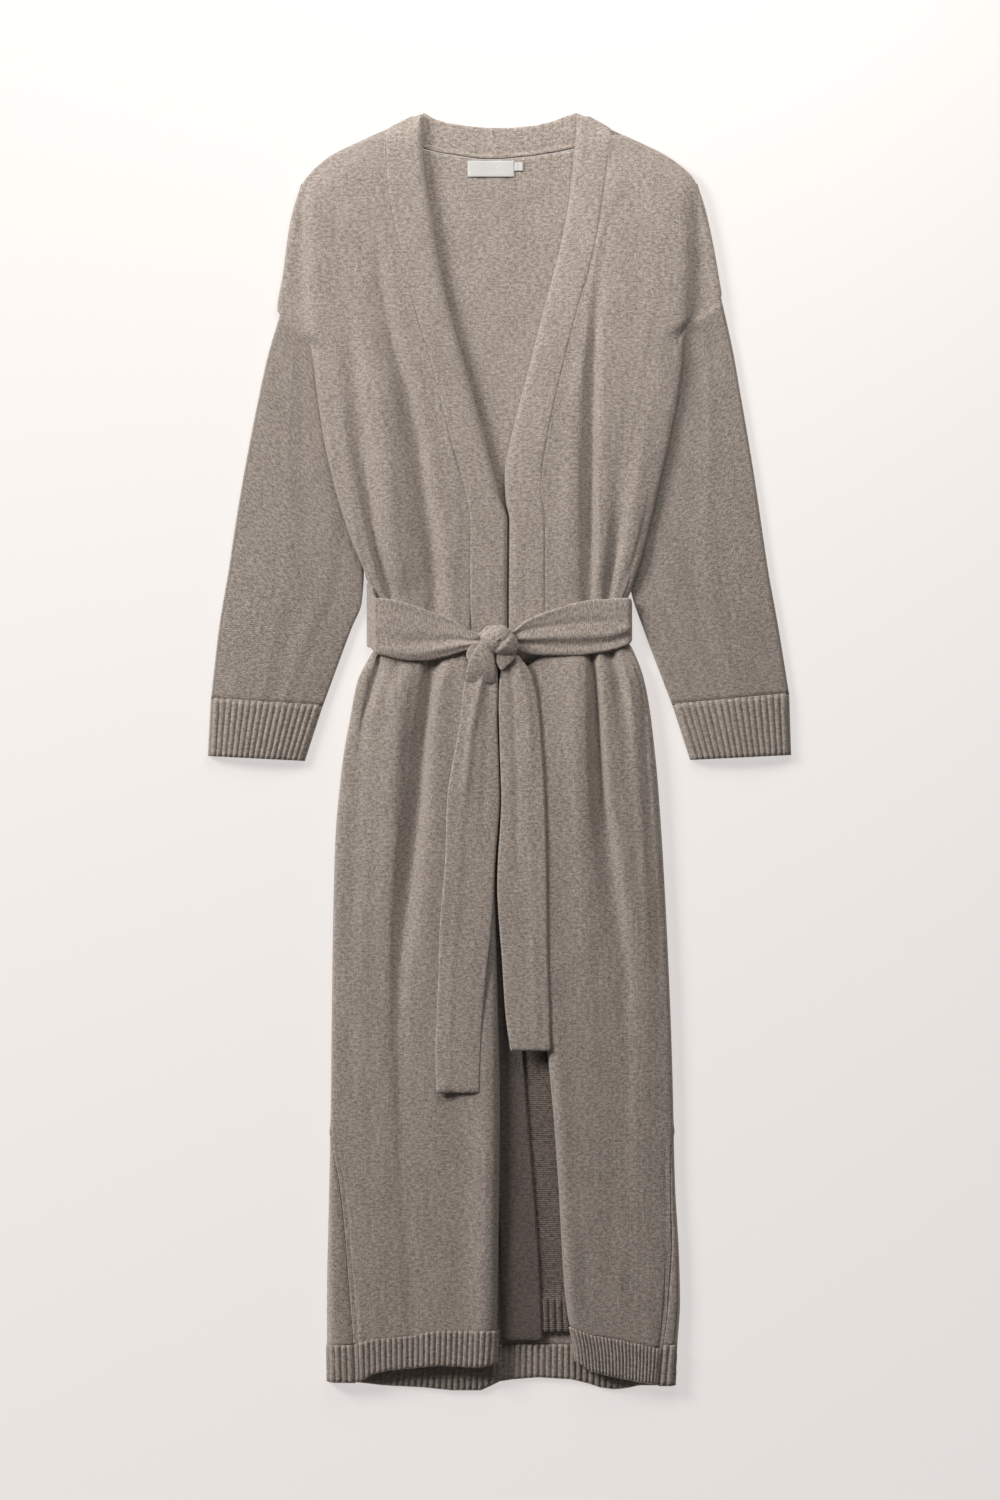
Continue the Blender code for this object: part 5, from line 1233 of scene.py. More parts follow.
def apply_tree(item, tree, values):
    """Run a tree on a piece with the given inputs and keep the result as its plain mesh."""
    modifier = item.modifiers.new(tree.name, "NODES")
    modifier.node_group = tree
    sockets = {s.name: s.identifier for s in tree.interface.items_tree if s.in_out == "INPUT"}
    for label, value in values.items():
        modifier[sockets[label]] = value
    depsgraph = bpy.context.evaluated_depsgraph_get()
    mesh = bpy.data.meshes.new_from_object(
        item.evaluated_get(depsgraph), preserve_all_data_layers=True, depsgraph=depsgraph,
    )
    item.modifiers.clear()
    name = item.name
    if item.type == "MESH":
        item.data = mesh
        return item
    bpy.data.objects.remove(item, do_unlink=True)
    made = bpy.data.objects.new(name, mesh)
    bpy.context.scene.collection.objects.link(made)
    return made


def raise_ribs(item, kind):
    """Raise a strip's ribs and give it its knit."""
    yarn = bpy.context.scene.cardigan_yarn
    return apply_tree(item, rib_tree(), {
        "Rib Height": yarn.rib_height, "Rib Fullness": yarn.rib_fullness, "Material": cloth_finish(kind),
    })


# Shapes of the pieces

def front_grid(stations, steps, side, inward, hem_top, hem_end=None):
    """Grid of a front's outer face, or of its hem where the hem's end is given."""
    side_table, wrap_table, folds, inner_table, creases, seed = side
    rows = []
    depth = bpy.context.scene.cardigan_yarn.crease_depth
    for station in stations:
        section = front_section(station, side_table, wrap_table, folds, inner_table, inward)
        if hem_end is None:
            line = smooth_line(section, steps)
            down = hem_down(station, line[:, 0], hem_top)
        else:
            line = evenly(smooth_line(section, 4), steps)
            top = np.asarray(hem_top, float)
            end = np.asarray(hem_end, float)
            share = (station - stations[0]) / (stations[-1] - stations[0])
            seam = np.interp(line[:, 0], top[:, 0], top[:, 1]) - HEM_START_GAP
            down = seam + (np.interp(line[:, 0], end[:, 0], end[:, 1]) - seam) * share
        lie = knit_relief(line[:, 0], down, seed, depth) + depth * crease_relief(down, line[:, 0], creases)
        count = np.arange(len(line))
        away = np.minimum(count / FADE_POINTS[0], count[::-1] / FADE_POINTS[1])
        rows.append(place(line[:, 0], down, line[:, 1] + lie * np.clip(away, 0.0, 1.0)))
    if hem_end is not None:
        rows[0][:, 2] -= HEM_SINK * MM
    return np.array(rows)


def make_front(name, side, inward, hem_top, hem_end):
    """One front body with its folds, and its ribbed hem."""
    lies_on = ["knit_back_panel"]
    grid = front_grid(FRONT_STATIONS, FRONT_STEPS, side, inward, hem_top)
    lay_wall(name + "_panel", grid, True, (0, 0, 1, 0.3), ("smooth_knit", "purl_knit"), "knit", lies_on,
             keep_across=True)
    grid = front_grid(HEM_STATIONS, FRONT_RIBS * RIB_STEPS, side, inward, hem_top, hem_end)
    turn = np.arange(grid.shape[1]) / RIB_STEPS
    lay_wall(name + "_hem_rib", grid, True, (0, FREE, 1, 0.6), ("rib_knit",), "knit_rib", lies_on, turn=turn)


def band_grid(table, inward):
    """Grid of a front band, with a pucker along its seam and a soft roll at its edge."""
    rows = []
    stations = np.linspace(table[0][0], table[-1][0], int((table[-1][0] - table[0][0]) / BAND_ROW_STEP))
    for down in stations:
        seam, seam_height, edge, top, foot = (along(table, k, down) for k in range(1, 6))
        width = edge - seam
        drop = top - foot
        if abs(drop) < CLOTH + 0.2:
            foot, drop = top, 0.0
        roll = min(BAND_ROLL, abs(width) * 0.3)
        line = smooth_line((
            (seam, seam_height),
            (seam + 0.45 * width, seam_height + (top - seam_height) * 0.35),
            (edge - inward * roll, top),
            (edge - inward * roll * 0.25, top - 0.3 * drop),
            (edge, top - 0.95 * drop),
        ), 7)
        away = np.abs(line[:, 0] - seam)
        wave = np.sin(down * 0.62 + 1.3 * np.sin(down * 0.11))
        pucker = PUCKER_HEIGHT * np.exp(-((away - PUCKER_PLACE) / PUCKER_WIDTH) ** 2) * wave
        groove = -GROOVE_DEPTH * np.exp(-(away / GROOVE_WIDTH) ** 2)
        lie = knit_relief(line[:, 0], np.full(len(line), down), BAND_SEED, 0.7)
        lie = lie * np.clip(away / 6.0, 0.0, 1.0)
        rows.append(place(line[:, 0], down, line[:, 1] + pucker + groove + lie))
    return tuck(np.array(rows), "left", BAND_TUCK, BAND_SINK)


def edge_arc(foot, away, radius, turn):
    """Half round of a tube's folded edge, as across, down and height."""
    reach = radius * MM / CHART_UNIT
    return np.column_stack([foot + away * reach * np.cos(turn)[:, None], SLEEVE_EDGE + radius * np.sin(turn)])


def ring_grid(table, rows, steps_top, steps_bottom, offset, creases, seed, shoulder=0.0):
    """Rings of a flattened tube from its upper end, each over the top, round, under and back."""
    shares = np.linspace(0.0, 1.0, rows)
    top_share = np.linspace(0.0, 1.0, steps_top + 1)
    bottom_share = np.linspace(1.0, 0.0, steps_bottom + 1)
    radius = SLEEVE_EDGE - offset
    end = SLEEVE_EDGE * MM / CHART_UNIT
    rings = []
    for share in shares:
        a = np.array([along(table, 1, share), along(table, 2, share)])
        b = np.array([along(table, 3, share), along(table, 4, share)])
        crown = along(table, 5, share)
        unit = (b - a) / np.linalg.norm(b - a)
        start, stop = a + unit * end, b - unit * end
        top = start + (stop - start) * top_share[:, None]
        swell = SLEEVE_CROWN * crown * np.sin(np.pi * top_share) ** 0.8
        lie = crease_relief(np.full(len(top_share), share), top_share, creases)
        lie = 0.75 * lie + knit_relief(top[:, 0], top[:, 1], seed, 0.5)
        height = SLEEVE_EDGE + radius + swell + lie * np.clip(np.sin(np.pi * top_share) * 3.0, 0.0, 1.0)
        height = height + shoulder * max(0.0, 1.0 - share / SHOULDER_SHARE) ** 2
        turn = np.linspace(0.5 * np.pi, -0.5 * np.pi, 7)[1:-1]
        right = edge_arc(stop, unit, radius, turn)
        under = start + (stop - start) * bottom_share[:, None]
        left = edge_arc(start, -unit, radius, turn[::-1])
        ring = np.vstack([
            np.column_stack([top, height]), right,
            np.column_stack([under, np.full(len(under), SLEEVE_EDGE - radius)]), left,
        ])
        rings.append(place(ring[:, 0], ring[:, 1], ring[:, 2]))
    return np.array(rings)


def make_tube(node, table, rows, steps_top, creases, seed, kind, ribs=0, shoulder=0.0):
    """Flattened sleeve or cuff, its upper end tucked under its neighbour."""
    reach = ARMHOLE_TUCK if shoulder else CUFF_TUCK
    outer, inner = (
        tuck(ring_grid(table, rows, steps_top, UNDERSIDE_STEPS, offset, creases, seed, shoulder), "first",
             reach, TUBE_SINK)
        for offset in (0.0, CLOTH)
    )
    if shoulder:
        SEAM_LINES[node] = outer[1, :steps_top + 1]
    loop = np.concatenate([outer, outer[:, :1]], axis=1)
    where = arc_map(loop)[:, :-1]
    turn = out = None
    if ribs:
        sides = outer.shape[1]
        turn = np.zeros(sides)
        turn[:steps_top + 1] = np.arange(steps_top + 1) / RIB_STEPS
        out = np.zeros(outer.shape)
        out[:, :steps_top + 1, 2] = 1.0
    item = cloth_tube("knit_" + node, outer, inner, where, turn, out)
    wearing(item, [cloth_finish(kind), cloth_finish(kind if ribs else "purl_knit")])
    if ribs:
        item = raise_ribs(item, kind)
    hand_over(item, node)


def belt_grid(table, creases, seed):
    """Grid of one belt stretch: rows along it, columns from its top edge to its bottom edge."""
    numbered = np.column_stack([np.arange(len(table)), np.asarray(table, float)])
    rows = []
    w = np.linspace(0.0, 1.0, BELT_COLUMNS)
    for at in np.linspace(0.0, len(table) - 1.0, BELT_ROWS):
        across, top, bottom, height = (along(numbered, k, at) for k in range(1, 5))
        share = at / (len(table) - 1.0)
        down = top + (bottom - top) * w
        bow = BELT_BOW * np.sin(np.pi * w) ** 0.5
        lie = crease_relief(np.full(len(w), share), w, creases)
        lie = lie + knit_relief(down, np.full(len(w), across), seed, 0.5)
        rows.append(place(across, down, height + bow + lie))
    return np.array(rows)


def front_height(down, across):
    """Height of the fronts' outer face at one station over a range of across positions."""
    high = np.zeros_like(across)
    for side, inward in ((RIGHT_FRONT, 1.0), (LEFT_FRONT, -1.0)):
        line = smooth_line(front_section(down, *side[:4], inward), 2)
        order = np.argsort(line[:, 0])
        high = np.maximum(high, np.interp(across, line[order, 0], line[order, 1], left=0.0, right=0.0))
    return high


def tail_grid(table, creases, seed, curl):
    """Grid of one hanging end of the belt, lying on the fronts.

    curl lifts a corner: its across, down, height and reach.
    """
    rows = []
    w = np.linspace(0.0, 1.0, TAIL_COLUMNS)
    window = 2 * TAIL_EVEN + 1
    evener = np.ones(window) / window
    for down in np.linspace(table[0][0], table[-1][0], TAIL_ROWS):
        left, right, least = (along(table, k, down) for k in range(1, 4))
        across = left + (right - left) * w
        under = np.zeros(len(w))
        for shift in TAIL_BRIDGES:
            under = np.maximum(under, front_height(down, across + shift))
        height = np.maximum(under + LAY_GAP + BELT_CLOTH, least)
        height = np.convolve(np.pad(height, TAIL_EVEN, mode="edge"), evener, mode="valid")
        crown = BELT_BOW * np.sin(np.pi * w) ** 0.5
        lie = crease_relief(np.full(len(w), down), across, creases) * np.sin(np.pi * w) ** 0.4
        lie = lie + knit_relief(across, np.full(len(w), down), seed, 0.5)
        lie = lie + curl[2] * np.exp(-((across - curl[0]) ** 2 + (down - curl[1]) ** 2) / curl[3] ** 2)
        rows.append(place(across, np.full(len(w), down), height + crown + lie))
    return np.array(rows)


def back_grid():
    """Grid of the back's underside, from its neck line to its hem seam."""
    top = np.asarray(BACK_TOP_LINE, float)
    section, rim = back_section(BACK_BODY_DOWN, BACK_STEPS)
    across, height = section[:, 0], section[:, 1]
    spot = np.linspace(0.0, len(top) - 1.0, BACK_STEPS - 1)
    top_across = across + ARMPIT_INSET
    top_across[-rim:] = across[-rim:] - ARMPIT_INSET
    top_down = np.full(len(across), ARMPIT_DOWN)
    numbers = np.arange(len(top))
    top_across[rim:-rim] = np.interp(spot, numbers, top[:, 0])
    top_down[rim:-rim] = np.interp(spot, numbers, top[:, 1])
    rows = []
    for share in np.linspace(0.0, 1.0, 14)[:-1]:
        x = top_across + (across - top_across) * share
        rows.append(place(x, top_down + (BACK_BODY_DOWN - top_down) * share, height))
    for station in (*range(200, 1345, 7), HEM_SEAM_DOWN - SEAM_GAP):
        section, _ = back_section(station, BACK_STEPS)
        rows.append(place(section[:, 0], np.full(len(section), float(station)), section[:, 1]))
    return np.array(rows)


def back_hem_grid():
    """Grid of the back hem's underside, and each column's place among its ribs."""
    end = np.asarray(BACK_HEM_END, float)
    rows = []
    for share in np.linspace(0.0, 1.0, 12):
        section, _ = back_section(HEM_SEAM_DOWN + share * HEM_DEPTH, BACK_HEM_STEPS)
        line = evenly(smooth_line(section, 3), BACK_HEM_COLUMNS)
        close = np.interp(line[:, 0], end[:, 0], end[:, 1])
        start = HEM_SEAM_DOWN - HEM_START_GAP
        rows.append(place(line[:, 0], start + (close - start) * share, line[:, 1]))
    return np.array(rows), np.linspace(0.0, BACK_RIBS + 2.0 * WRAP_RIBS, BACK_HEM_COLUMNS + 1)


def neck_grid():
    """Grid of the band round the back neck, with the light rolled lip along its seam."""
    seam = np.asarray(BACK_TOP_LINE[NECK_FROM:NECK_TO + 1], float)
    top = np.asarray(NECK_TOP, float)
    spot = np.linspace(0, len(seam) - 1, NECK_COLUMNS)
    across = np.interp(spot, np.arange(len(seam)), seam[:, 0])
    lower = np.interp(spot, np.arange(len(seam)), seam[:, 1]) - 0.6
    upper = np.interp(across, top[:, 0], top[:, 1])
    lower = np.maximum(lower, upper + 1.0)
    rows = []
    for share in np.linspace(0.0, 1.0, 18):
        down = upper + (lower - upper) * share
        lip = 1.5 * np.exp(-((share - 0.93) / 0.06) ** 2) - 0.5 * np.exp(-((share - 0.80) / 0.05) ** 2)
        lie = lip + 0.7 * np.sin(np.pi * share) ** 0.6 + knit_relief(across, down, NECK_SEED, 0.4)
        rows.append(place(across, down, CLOTH + lie))
    return np.array(rows)


def pleat_grid():
    """Grid of the back's soft pleat, the place of its columns among the ribs, and its ribbed rows."""
    rows = []
    steps = PLEAT_RIBS * RIB_STEPS
    w = np.linspace(0.0, 1.0, steps + 1)
    plain_rows = np.linspace(BACK_PLEAT[0][0], PLEAT_RIB_FROM, PLEAT_PLAIN_ROWS)
    rib_rows = np.linspace(PLEAT_RIB_FROM + 3.0, BACK_PLEAT[-1][0], PLEAT_RIB_ROWS)
    for down in np.concatenate([plain_rows, rib_rows]):
        left, right = (along(BACK_PLEAT, k, down) for k in (1, 2))
        across = left + (right - left) * w
        height = 2.0 * CLOTH + LAY_GAP + 0.25 * np.sin(w * 7.0)
        rows.append(place(across, np.full(len(w), down), height))
    ribbed = np.concatenate([np.zeros(PLEAT_PLAIN_ROWS), np.ones(PLEAT_RIB_ROWS)])
    return np.array(rows), np.arange(steps + 1) / RIB_STEPS, ribbed


def lump_piece(name):
    """Main lump of the knot, domed inside its outline, with wraps that run over it."""
    outline = np.asarray(KNOT_OUTLINE, float)
    closed = np.vstack([outline, outline[:1]])
    numbers = np.arange(len(closed))
    sides = KNOT_SIDES
    spots = np.linspace(0.0, len(closed) - 1.0, sides + 1)[:-1]
    ring = np.column_stack([np.interp(spots, numbers, closed[:, k]) for k in (0, 1)])
    for _ in range(4):
        ring = 0.5 * ring + 0.25 * (np.roll(ring, 1, axis=0) + np.roll(ring, -1, axis=0))
    middle = np.asarray(KNOT_MIDDLE)
    points = []
    levels = np.linspace(0.0, 1.0, KNOT_LEVELS)
    for level in levels:
        size = max(np.cos(level * 0.5 * np.pi) ** 0.62, 0.02)
        swell = 1.0 + 0.05 * np.sin(np.pi * min(level * 2.0, 1.0))
        spot = middle + (ring - middle) * size * swell
        rise = np.sin(level * 0.5 * np.pi) ** 0.9
        slant = (spot - middle) @ np.asarray(KNOT_SLANT)
        fold = sum(lift * np.exp(-((slant - at) / width) ** 2) for lift, at, width in KNOT_WRAPS)
        height = KNOT_FOOT + (KNOT_TOP - KNOT_FOOT) * rise + fold * rise
        points.append(np.column_stack([spot, height]))
    points = np.array(points)
    grid = place(points[..., 0], points[..., 1], points[..., 2])
    index = np.arange(len(levels) * sides).reshape(len(levels), sides)
    after = np.roll(index, -1, axis=1)
    faces = np.stack([index[:-1], after[:-1], after[1:], index[1:]], axis=-1).reshape(-1, 4)
    half = sides // 2
    caps = []
    for row in (index[0], index[-1]):
        for k in range(half - 1):
            quad = (row[k], row[k + 1], row[sides - 2 - k], row[sides - 1 - k])
            caps.append(quad if row is index[-1] else quad[::-1])
    faces = np.concatenate([faces, np.array(caps)])
    flat = np.stack([grid[..., 0], grid[..., 1]], axis=-1).reshape(-1, 2)
    return cloth_object(name, grid.reshape(-1, 3), faces, flat, np.zeros(len(faces), int))


def fold_grid(rows_of):
    """Grid of one small loose fold of belt cloth."""
    table = np.column_stack([np.arange(len(rows_of)), np.asarray(rows_of, float)])
    w = np.linspace(-1.0, 1.0, 13)
    rows = []
    for at in np.linspace(0.0, len(rows_of) - 1.0, 16):
        across, down, half, height = (along(table, k, at) for k in range(1, 5))
        step = 0.05
        ahead = min(at + step, len(rows_of) - 1.0)
        behind = max(ahead - 2.0 * step, 0.0)
        run = np.array([along(table, k, ahead) - along(table, k, behind) for k in (1, 2)])
        run = run / np.linalg.norm(run)
        side = np.array([-run[1], run[0]])
        bow = 1.2 * (1.0 - w ** 2)
        rows.append(place(across + side[0] * half * w, down + side[1] * half * w, height + bow))
    return np.array(rows)


def tape_grid(box, lift):
    """Grid of the bare label or its tab, lying a little uneven."""
    left, top, right, bottom = box
    across = np.linspace(left, right, 28)
    share = (across - left) / (right - left)
    wave = 0.35 * np.sin(np.pi * share) + 0.2 * np.sin(share * 9.0)
    rows = []
    for down in np.linspace(top, bottom, 12):
        rows.append(place(across, np.full(len(across), down), lift + wave))
    return np.array(rows)


def seam_curve(name, points):
    """Curve object of one open line through the points."""
    curve = bpy.data.curves.new(name, "CURVE")
    curve.dimensions = "3D"
    spline = curve.splines.new("POLY")
    spline.points.add(len(points) - 1)
    for spot, point in zip(spline.points, points):
        spot.co = (*(float(c) for c in point), 1.0)
    item = bpy.data.objects.new(name, curve)
    bpy.context.scene.collection.objects.link(item)
    return item


# Settings

class CARDIGAN_yarn(bpy.types.PropertyGroup):
    """Sizes and colours of the knit cloth."""
    colour: bpy.props.FloatVectorProperty(
        name="Yarn colour", description="Middle tone of the smooth side", subtype="COLOR", size=3,
        default=(0.385, 0.325, 0.285), min=0.0, max=1.0)
    inside_colour: bpy.props.FloatVectorProperty(
        name="Inside colour", description="Middle tone of the purl side", subtype="COLOR", size=3,
        default=(0.345, 0.292, 0.268), min=0.0, max=1.0)
    # Painted shade: this dark tone stands in for the shadow on the front band below the belt and on the
    # back's pleat
    painted_shade_colour: bpy.props.FloatVectorProperty(
        name="Under colour", description="Middle tone of the cloth inside the front opening",
        subtype="COLOR",
        size=3, default=(0.14, 0.112, 0.096), min=0.0, max=1.0)
    heather: bpy.props.FloatProperty(
        name="Heather", description="Contrast between the light and dark fibres",
        default=1.25, min=0.0, max=2.0)
    wale_width: bpy.props.FloatProperty(
        name="Wale width", description="Width of one column of loops", default=0.0024, unit="LENGTH")
    course_height: bpy.props.FloatProperty(
        name="Course height", description="Height of one row of loops", default=0.0019, unit="LENGTH")
    rib_height: bpy.props.FloatProperty(
        name="Rib height", description="How far a rib stands out", default=0.0022, unit="LENGTH")
    rib_fullness: bpy.props.FloatProperty(
        name="Rib fullness", description="Power of the rib's section, small for wide round ribs",
        default=0.7)
    stitch_pitch: bpy.props.FloatProperty(
        name="Stitch pitch", description="Distance between the loops of a seam",
        default=0.0034, unit="LENGTH")
    stitch_length: bpy.props.FloatProperty(
        name="Stitch length", description="Length of one loop of a seam", default=0.0026, unit="LENGTH")
    yarn_radius: bpy.props.FloatProperty(
        name="Yarn radius", description="Radius of a seam's yarn", default=0.00042, unit="LENGTH")
    crease_depth: bpy.props.FloatProperty(
        name="Crease depth", description="Share of the full depth of soft creases",
        default=1.0, min=0.0, max=2.0)
    nap: bpy.props.FloatProperty(
        name="Nap", description="Strength of the soft light on the wool's surface",
        default=0.35, min=0.0, max=1.0)


class CARDIGAN_label(bpy.types.PropertyGroup):
    """Colour of the bare label."""
    tape_colour: bpy.props.FloatVectorProperty(
        name="Tape colour", description="Woven tape of the bare label", subtype="COLOR", size=3,
        default=(0.64, 0.63, 0.61), min=0.0, max=1.0)


class CARDIGAN_stage(bpy.types.PropertyGroup):
    """Floor, light and camera."""
    floor_colour: bpy.props.FloatVectorProperty(
        name="Floor colour", description="Pale plain floor", subtype="COLOR", size=3,
        default=(0.38, 0.362, 0.352), min=0.0, max=1.0)
    floor_glow: bpy.props.FloatProperty(
        name="Floor glow", description="Light that the floor gives off by itself", default=1.55, min=0.0)
    key_power: bpy.props.FloatProperty(
        name="Key light", description="Power of the soft light from the upper left",
        default=160.0, unit="POWER")
    top_power: bpy.props.FloatProperty(
        name="Shoulder light", description="Power of the weak light above the shoulders",
        default=8.4, unit="POWER")
    sky: bpy.props.FloatProperty(
        name="Sky light", description="Strength of the even light from all round", default=0.09, min=0.0)
    camera_height: bpy.props.FloatProperty(
        name="Camera height", description="Distance of the camera above the surface",
        default=6.0, unit="LENGTH")


# Operators

class CARDIGAN_OT_back(bpy.types.Operator):
    """Make the back, its ribbed hem, its neck band and its pleat"""
    bl_idname = "cardigan.back"
    bl_label = "Back"

    def execute(self, context):
        knit = ("smooth_knit", "purl_knit")
        lay_wall("back_panel", back_grid(), False, (0, 0, FREE, FREE), knit, "knit", ["floor"],
                 keep_across=True)
        grid, turn = back_hem_grid()
        lay_wall("back_hem_rib", grid, False, OPEN_FOOT, ("rib_knit",), "knit_rib", ["floor"],
                 turn=turn, rib_inside=True)
        knit = ("band_knit", "purl_knit")
        lay_wall("back_neck_band", neck_grid(), True, (FREE, 0, 0, 0), knit, "knit", ["floor"])
        grid, turn, ribbed = pleat_grid()
        # The pleat wears the purl knit in the dark painted-shade tone, which stands in for its shadow
        lay_wall("back_pleat", grid, True, OPEN_FOOT, ("painted_shade_purl",), "knit_inside", ["knit_back_panel"],
                 turn=turn, rib_rows=ribbed)
        return {"FINISHED"}


class CARDIGAN_OT_fronts(bpy.types.Operator):
    """Make the two fronts with their folds, ribbed hems and plain bands"""
    bl_idname = "cardigan.fronts"
    bl_label = "Fronts"

    def execute(self, context):
        make_front("front_right", RIGHT_FRONT, 1.0, RIGHT_HEM_TOP, RIGHT_HEM_END)
        make_front("front_left", LEFT_FRONT, -1.0, LEFT_HEM_TOP, LEFT_HEM_END)
        knit = [cloth_finish(kind) for kind in ("band_knit", "purl_knit", "painted_shade_knit")]
        under = (MIDDLE_DOWN - PAINTED_SHADE_DOWN) * CHART_UNIT
        for node, table, inward in (
            ("front_right_band", RIGHT_BAND, 1.0), ("front_left_band", LEFT_BAND, -1.0),
        ):
            grid = band_grid(table, inward)
            item = cloth_wall("knit_" + node, grid, True, CLOTH, (0, FREE, 0, FREE))
            wearing(item, knit)
            # Outer faces of the band below the belt take the third knit: painted shade for the shadow there
            for face in item.data.polygons:
                if face.material_index == 0 and face.center.y < under:
                    face.material_index = 2
            hand_over(item, node)
        return {"FINISHED"}


class CARDIGAN_OT_sleeves(bpy.types.Operator):
    """Make the two sleeves and their ribbed cuffs"""
    bl_idname = "cardigan.sleeves"
    bl_label = "Sleeves and cuffs"

    def execute(self, context):
        for side, sleeve, cuff, seed in (
            ("right", RIGHT_SLEEVE, RIGHT_CUFF, 41), ("left", LEFT_SLEEVE, LEFT_CUFF, 53),
        ):
            make_tube("sleeve_" + side, sleeve, SLEEVE_ROWS, SLEEVE_STEPS, SLEEVE_CREASES, seed,
                      "sleeve_shaded_knit", shoulder=SHOULDER_LIFT)
            make_tube("cuff_" + side, cuff, CUFF_ROWS, CUFF_RIBS * RIB_STEPS, (), seed, "rib_knit",
                      ribs=CUFF_RIBS)
        return {"FINISHED"}


class CARDIGAN_OT_belt(bpy.types.Operator):
    """Make the two belt stretches in front of the waist and the two hanging ends"""
    bl_idname = "cardigan.belt"
    bl_label = "Belt"

    def execute(self, context):
        stretch = (0.5, 0, FREE, FREE)
        grids = (
            ("belt_right", belt_grid(BELT_RIGHT, BELT_RIGHT_CREASES, 61), stretch),
            ("belt_left", belt_grid(BELT_LEFT, BELT_LEFT_CREASES, 67), stretch),
            ("belt_tail_long", tail_grid(TAIL_LONG, LONG_TAIL_CREASES, 73, LONG_TAIL_CURL), OPEN_FOOT),
            ("belt_tail_short", tail_grid(TAIL_SHORT, SHORT_TAIL_CREASES, 79, SHORT_TAIL_CURL), OPEN_FOOT),
        )
        for node, grid, rounded in grids:
            lay_wall(node, grid, True, rounded, ("belt_knit", "belt_knit"), "knit_belt", FRONTS, BELT_CLOTH)
        return {"FINISHED"}


class CARDIGAN_OT_knot(bpy.types.Operator):
    """Make the knot with its wraps and loose folds"""
    bl_idname = "cardigan.knot"
    bl_label = "Knot"

    def execute(self, context):
        parts = [lump_piece("knit_belt_knot")]
        for number, rows_of in enumerate(KNOT_FOLDS):
            grid = fold_grid(rows_of)
            parts.append(cloth_wall(f"knot_fold_{number}", grid, True, FOLD_CLOTH, OPEN_FOOT))
        for part in parts:
            wearing(part, [cloth_finish("belt_knit")] * 2)
        item = sew_together(parts)
        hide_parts("belt_knot")
        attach(item, "root")
        return {"FINISHED"}


class CARDIGAN_OT_label(bpy.types.Operator):
    """Make the bare woven label and its small tab"""
    bl_idname = "cardigan.label"
    bl_label = "Label"

    def execute(self, context):
        lift = CLOTH + LAY_GAP + LABEL_CLOTH
        grids = [tape_grid(box, lift) for box in (NECK_LABEL, SIZE_TAB)]
        parts = []
        for name, grid in zip(("neck_label_tape", "size_tab_tape"), grids):
            parts.append(cloth_wall(name, grid, True, LABEL_CLOTH, OPEN_ROUND))
            wearing(parts[-1], [cloth_finish("woven_tape")] * 2)
        label = sew_together(parts)
        hand_over(label, "neck_label")
        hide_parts("size_tab")
        return {"FINISHED"}


class CARDIGAN_OT_seams(bpy.types.Operator):
    """Sew the two armhole seams with small loops of yarn"""
    bl_idname = "cardigan.seams"
    bl_label = "Seams"

    def execute(self, context):
        yarn = context.scene.cardigan_yarn
        parts = []
        for name, line in SEAM_LINES.items():
            item = seam_curve("seam_" + name, line - np.array([0.0, 0.0, STITCH_SINK * MM]))
            parts.append(apply_tree(item, stitch_tree(), {
                "Stitch Pitch": yarn.stitch_pitch, "Stitch Length": yarn.stitch_length,
                "Yarn Radius": yarn.yarn_radius, "Material": cloth_finish("seam_yarn"),
            }))
        item = sew_together(parts)
        item.name = "seam_loops"
        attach(item, "root")
        return {"FINISHED"}


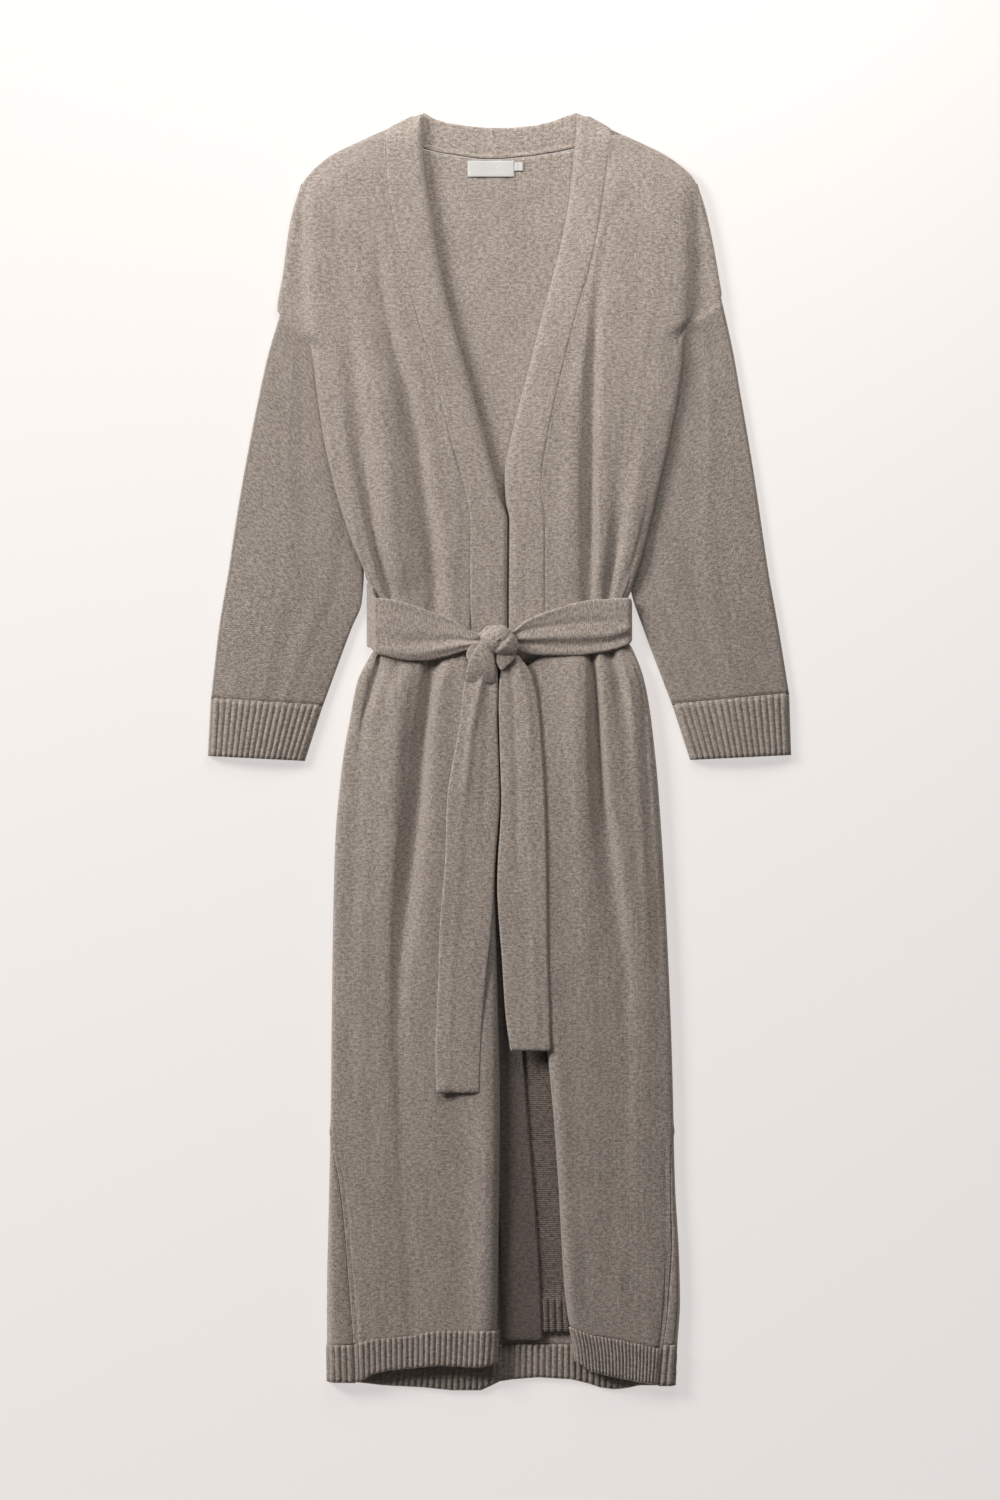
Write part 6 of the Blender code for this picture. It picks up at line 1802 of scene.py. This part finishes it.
class CARDIGAN_OT_stage(bpy.types.Operator):
    """Make the pale floor, the soft light and the camera"""
    bl_idname = "cardigan.stage"
    bl_label = "Stage"

    def execute(self, context):
        stage = context.scene.cardigan_stage
        mesh = bpy.data.meshes.new("floor")
        signs = ((-1, -1), (1, -1), (1, 1), (-1, 1))
        corners = [(x * FLOOR_HALF, y * FLOOR_HALF, FLOOR_LEVEL) for x, y in signs]
        mesh.from_pydata(corners, [], [(0, 1, 2, 3)])
        floor = bpy.data.objects.new("floor", mesh)
        context.scene.collection.objects.link(floor)
        paint = bpy.data.materials.new("floor_paper")
        paint.use_nodes = True
        shader = paint.node_tree.nodes["Principled BSDF"]
        colour = (*stage.floor_colour, 1.0)
        shader.inputs["Base Color"].default_value = colour
        shader.inputs["Roughness"].default_value = 0.9
        shader.inputs["Specular IOR Level"].default_value = 0.1
        shader.inputs["Emission Color"].default_value = colour
        shader.inputs["Emission Strength"].default_value = stage.floor_glow
        mesh.materials.append(paint)
        for name, spot, aim, size, power in (
            ("key_light", KEY_PLACE, KEY_AIM, KEY_SIZE, stage.key_power),
            ("shoulder_light", TOP_PLACE, TOP_AIM, TOP_SIZE, stage.top_power),
        ):
            light = bpy.data.lights.new(name, "AREA")
            light.shape = "DISK"
            light.size = size
            light.energy = power
            light.color = LAMP_COLOUR
            lamp = bpy.data.objects.new(name, light)
            lamp.location = spot
            lamp.rotation_euler = (Vector(aim) - Vector(spot)).to_track_quat("-Z", "Y").to_euler()
            context.scene.collection.objects.link(lamp)
        world = bpy.data.worlds.new("studio_sky")
        world.use_nodes = True
        sky = world.node_tree.nodes["Background"]
        sky.inputs["Color"].default_value = SKY_COLOUR
        sky.inputs["Strength"].default_value = stage.sky
        context.scene.world = world
        lens = bpy.data.cameras.new("camera")
        lens.sensor_width = SENSOR
        lens.lens = SENSOR * stage.camera_height / (CHART_HEIGHT * CHART_UNIT)
        lens.clip_end = 100.0
        camera = bpy.data.objects.new("camera", lens)
        camera.location = (0.0, (MIDDLE_DOWN - 0.5 * CHART_HEIGHT) * CHART_UNIT, stage.camera_height)
        context.scene.collection.objects.link(camera)
        context.scene.camera = camera
        context.scene.view_settings.view_transform = "Standard"
        return {"FINISHED"}


class CARDIGAN_PT_pieces(bpy.types.Panel):
    """Buttons for the pieces, and their settings"""
    bl_label = "Cardigan"
    bl_idname = "CARDIGAN_PT_pieces"
    bl_space_type = "VIEW_3D"
    bl_region_type = "UI"
    bl_category = "Cardigan"

    def draw(self, context):
        for operator in OPERATORS:
            self.layout.operator(operator.bl_idname)
        for name in SETTINGS:
            group = getattr(context.scene, name)
            for key in group.__annotations__:
                self.layout.prop(group, key)


SETTINGS = {
    "cardigan_yarn": CARDIGAN_yarn, "cardigan_label": CARDIGAN_label, "cardigan_stage": CARDIGAN_stage,
}
OPERATORS = (
    CARDIGAN_OT_stage, CARDIGAN_OT_back, CARDIGAN_OT_sleeves, CARDIGAN_OT_fronts, CARDIGAN_OT_belt,
    CARDIGAN_OT_knot, CARDIGAN_OT_label, CARDIGAN_OT_seams,
)


def register():
    """Add the settings, operators and panel."""
    for name, group in SETTINGS.items():
        bpy.utils.register_class(group)
        setattr(bpy.types.Scene, name, bpy.props.PointerProperty(type=group))
    for item in (*OPERATORS, CARDIGAN_PT_pieces):
        bpy.utils.register_class(item)


def unregister():
    """Remove the panel, operators and settings."""
    for item in (CARDIGAN_PT_pieces, *reversed(OPERATORS)):
        bpy.utils.unregister_class(item)
    for name, group in SETTINGS.items():
        delattr(bpy.types.Scene, name)
        bpy.utils.unregister_class(group)


def main():
    """Make every piece in order."""
    register()
    bpy.ops.cardigan.stage()
    bpy.ops.cardigan.back()
    bpy.ops.cardigan.sleeves()
    bpy.ops.cardigan.fronts()
    bpy.ops.cardigan.belt()
    bpy.ops.cardigan.knot()
    bpy.ops.cardigan.label()
    bpy.ops.cardigan.seams()
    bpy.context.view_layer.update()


if __name__ == "__main__":
    main()
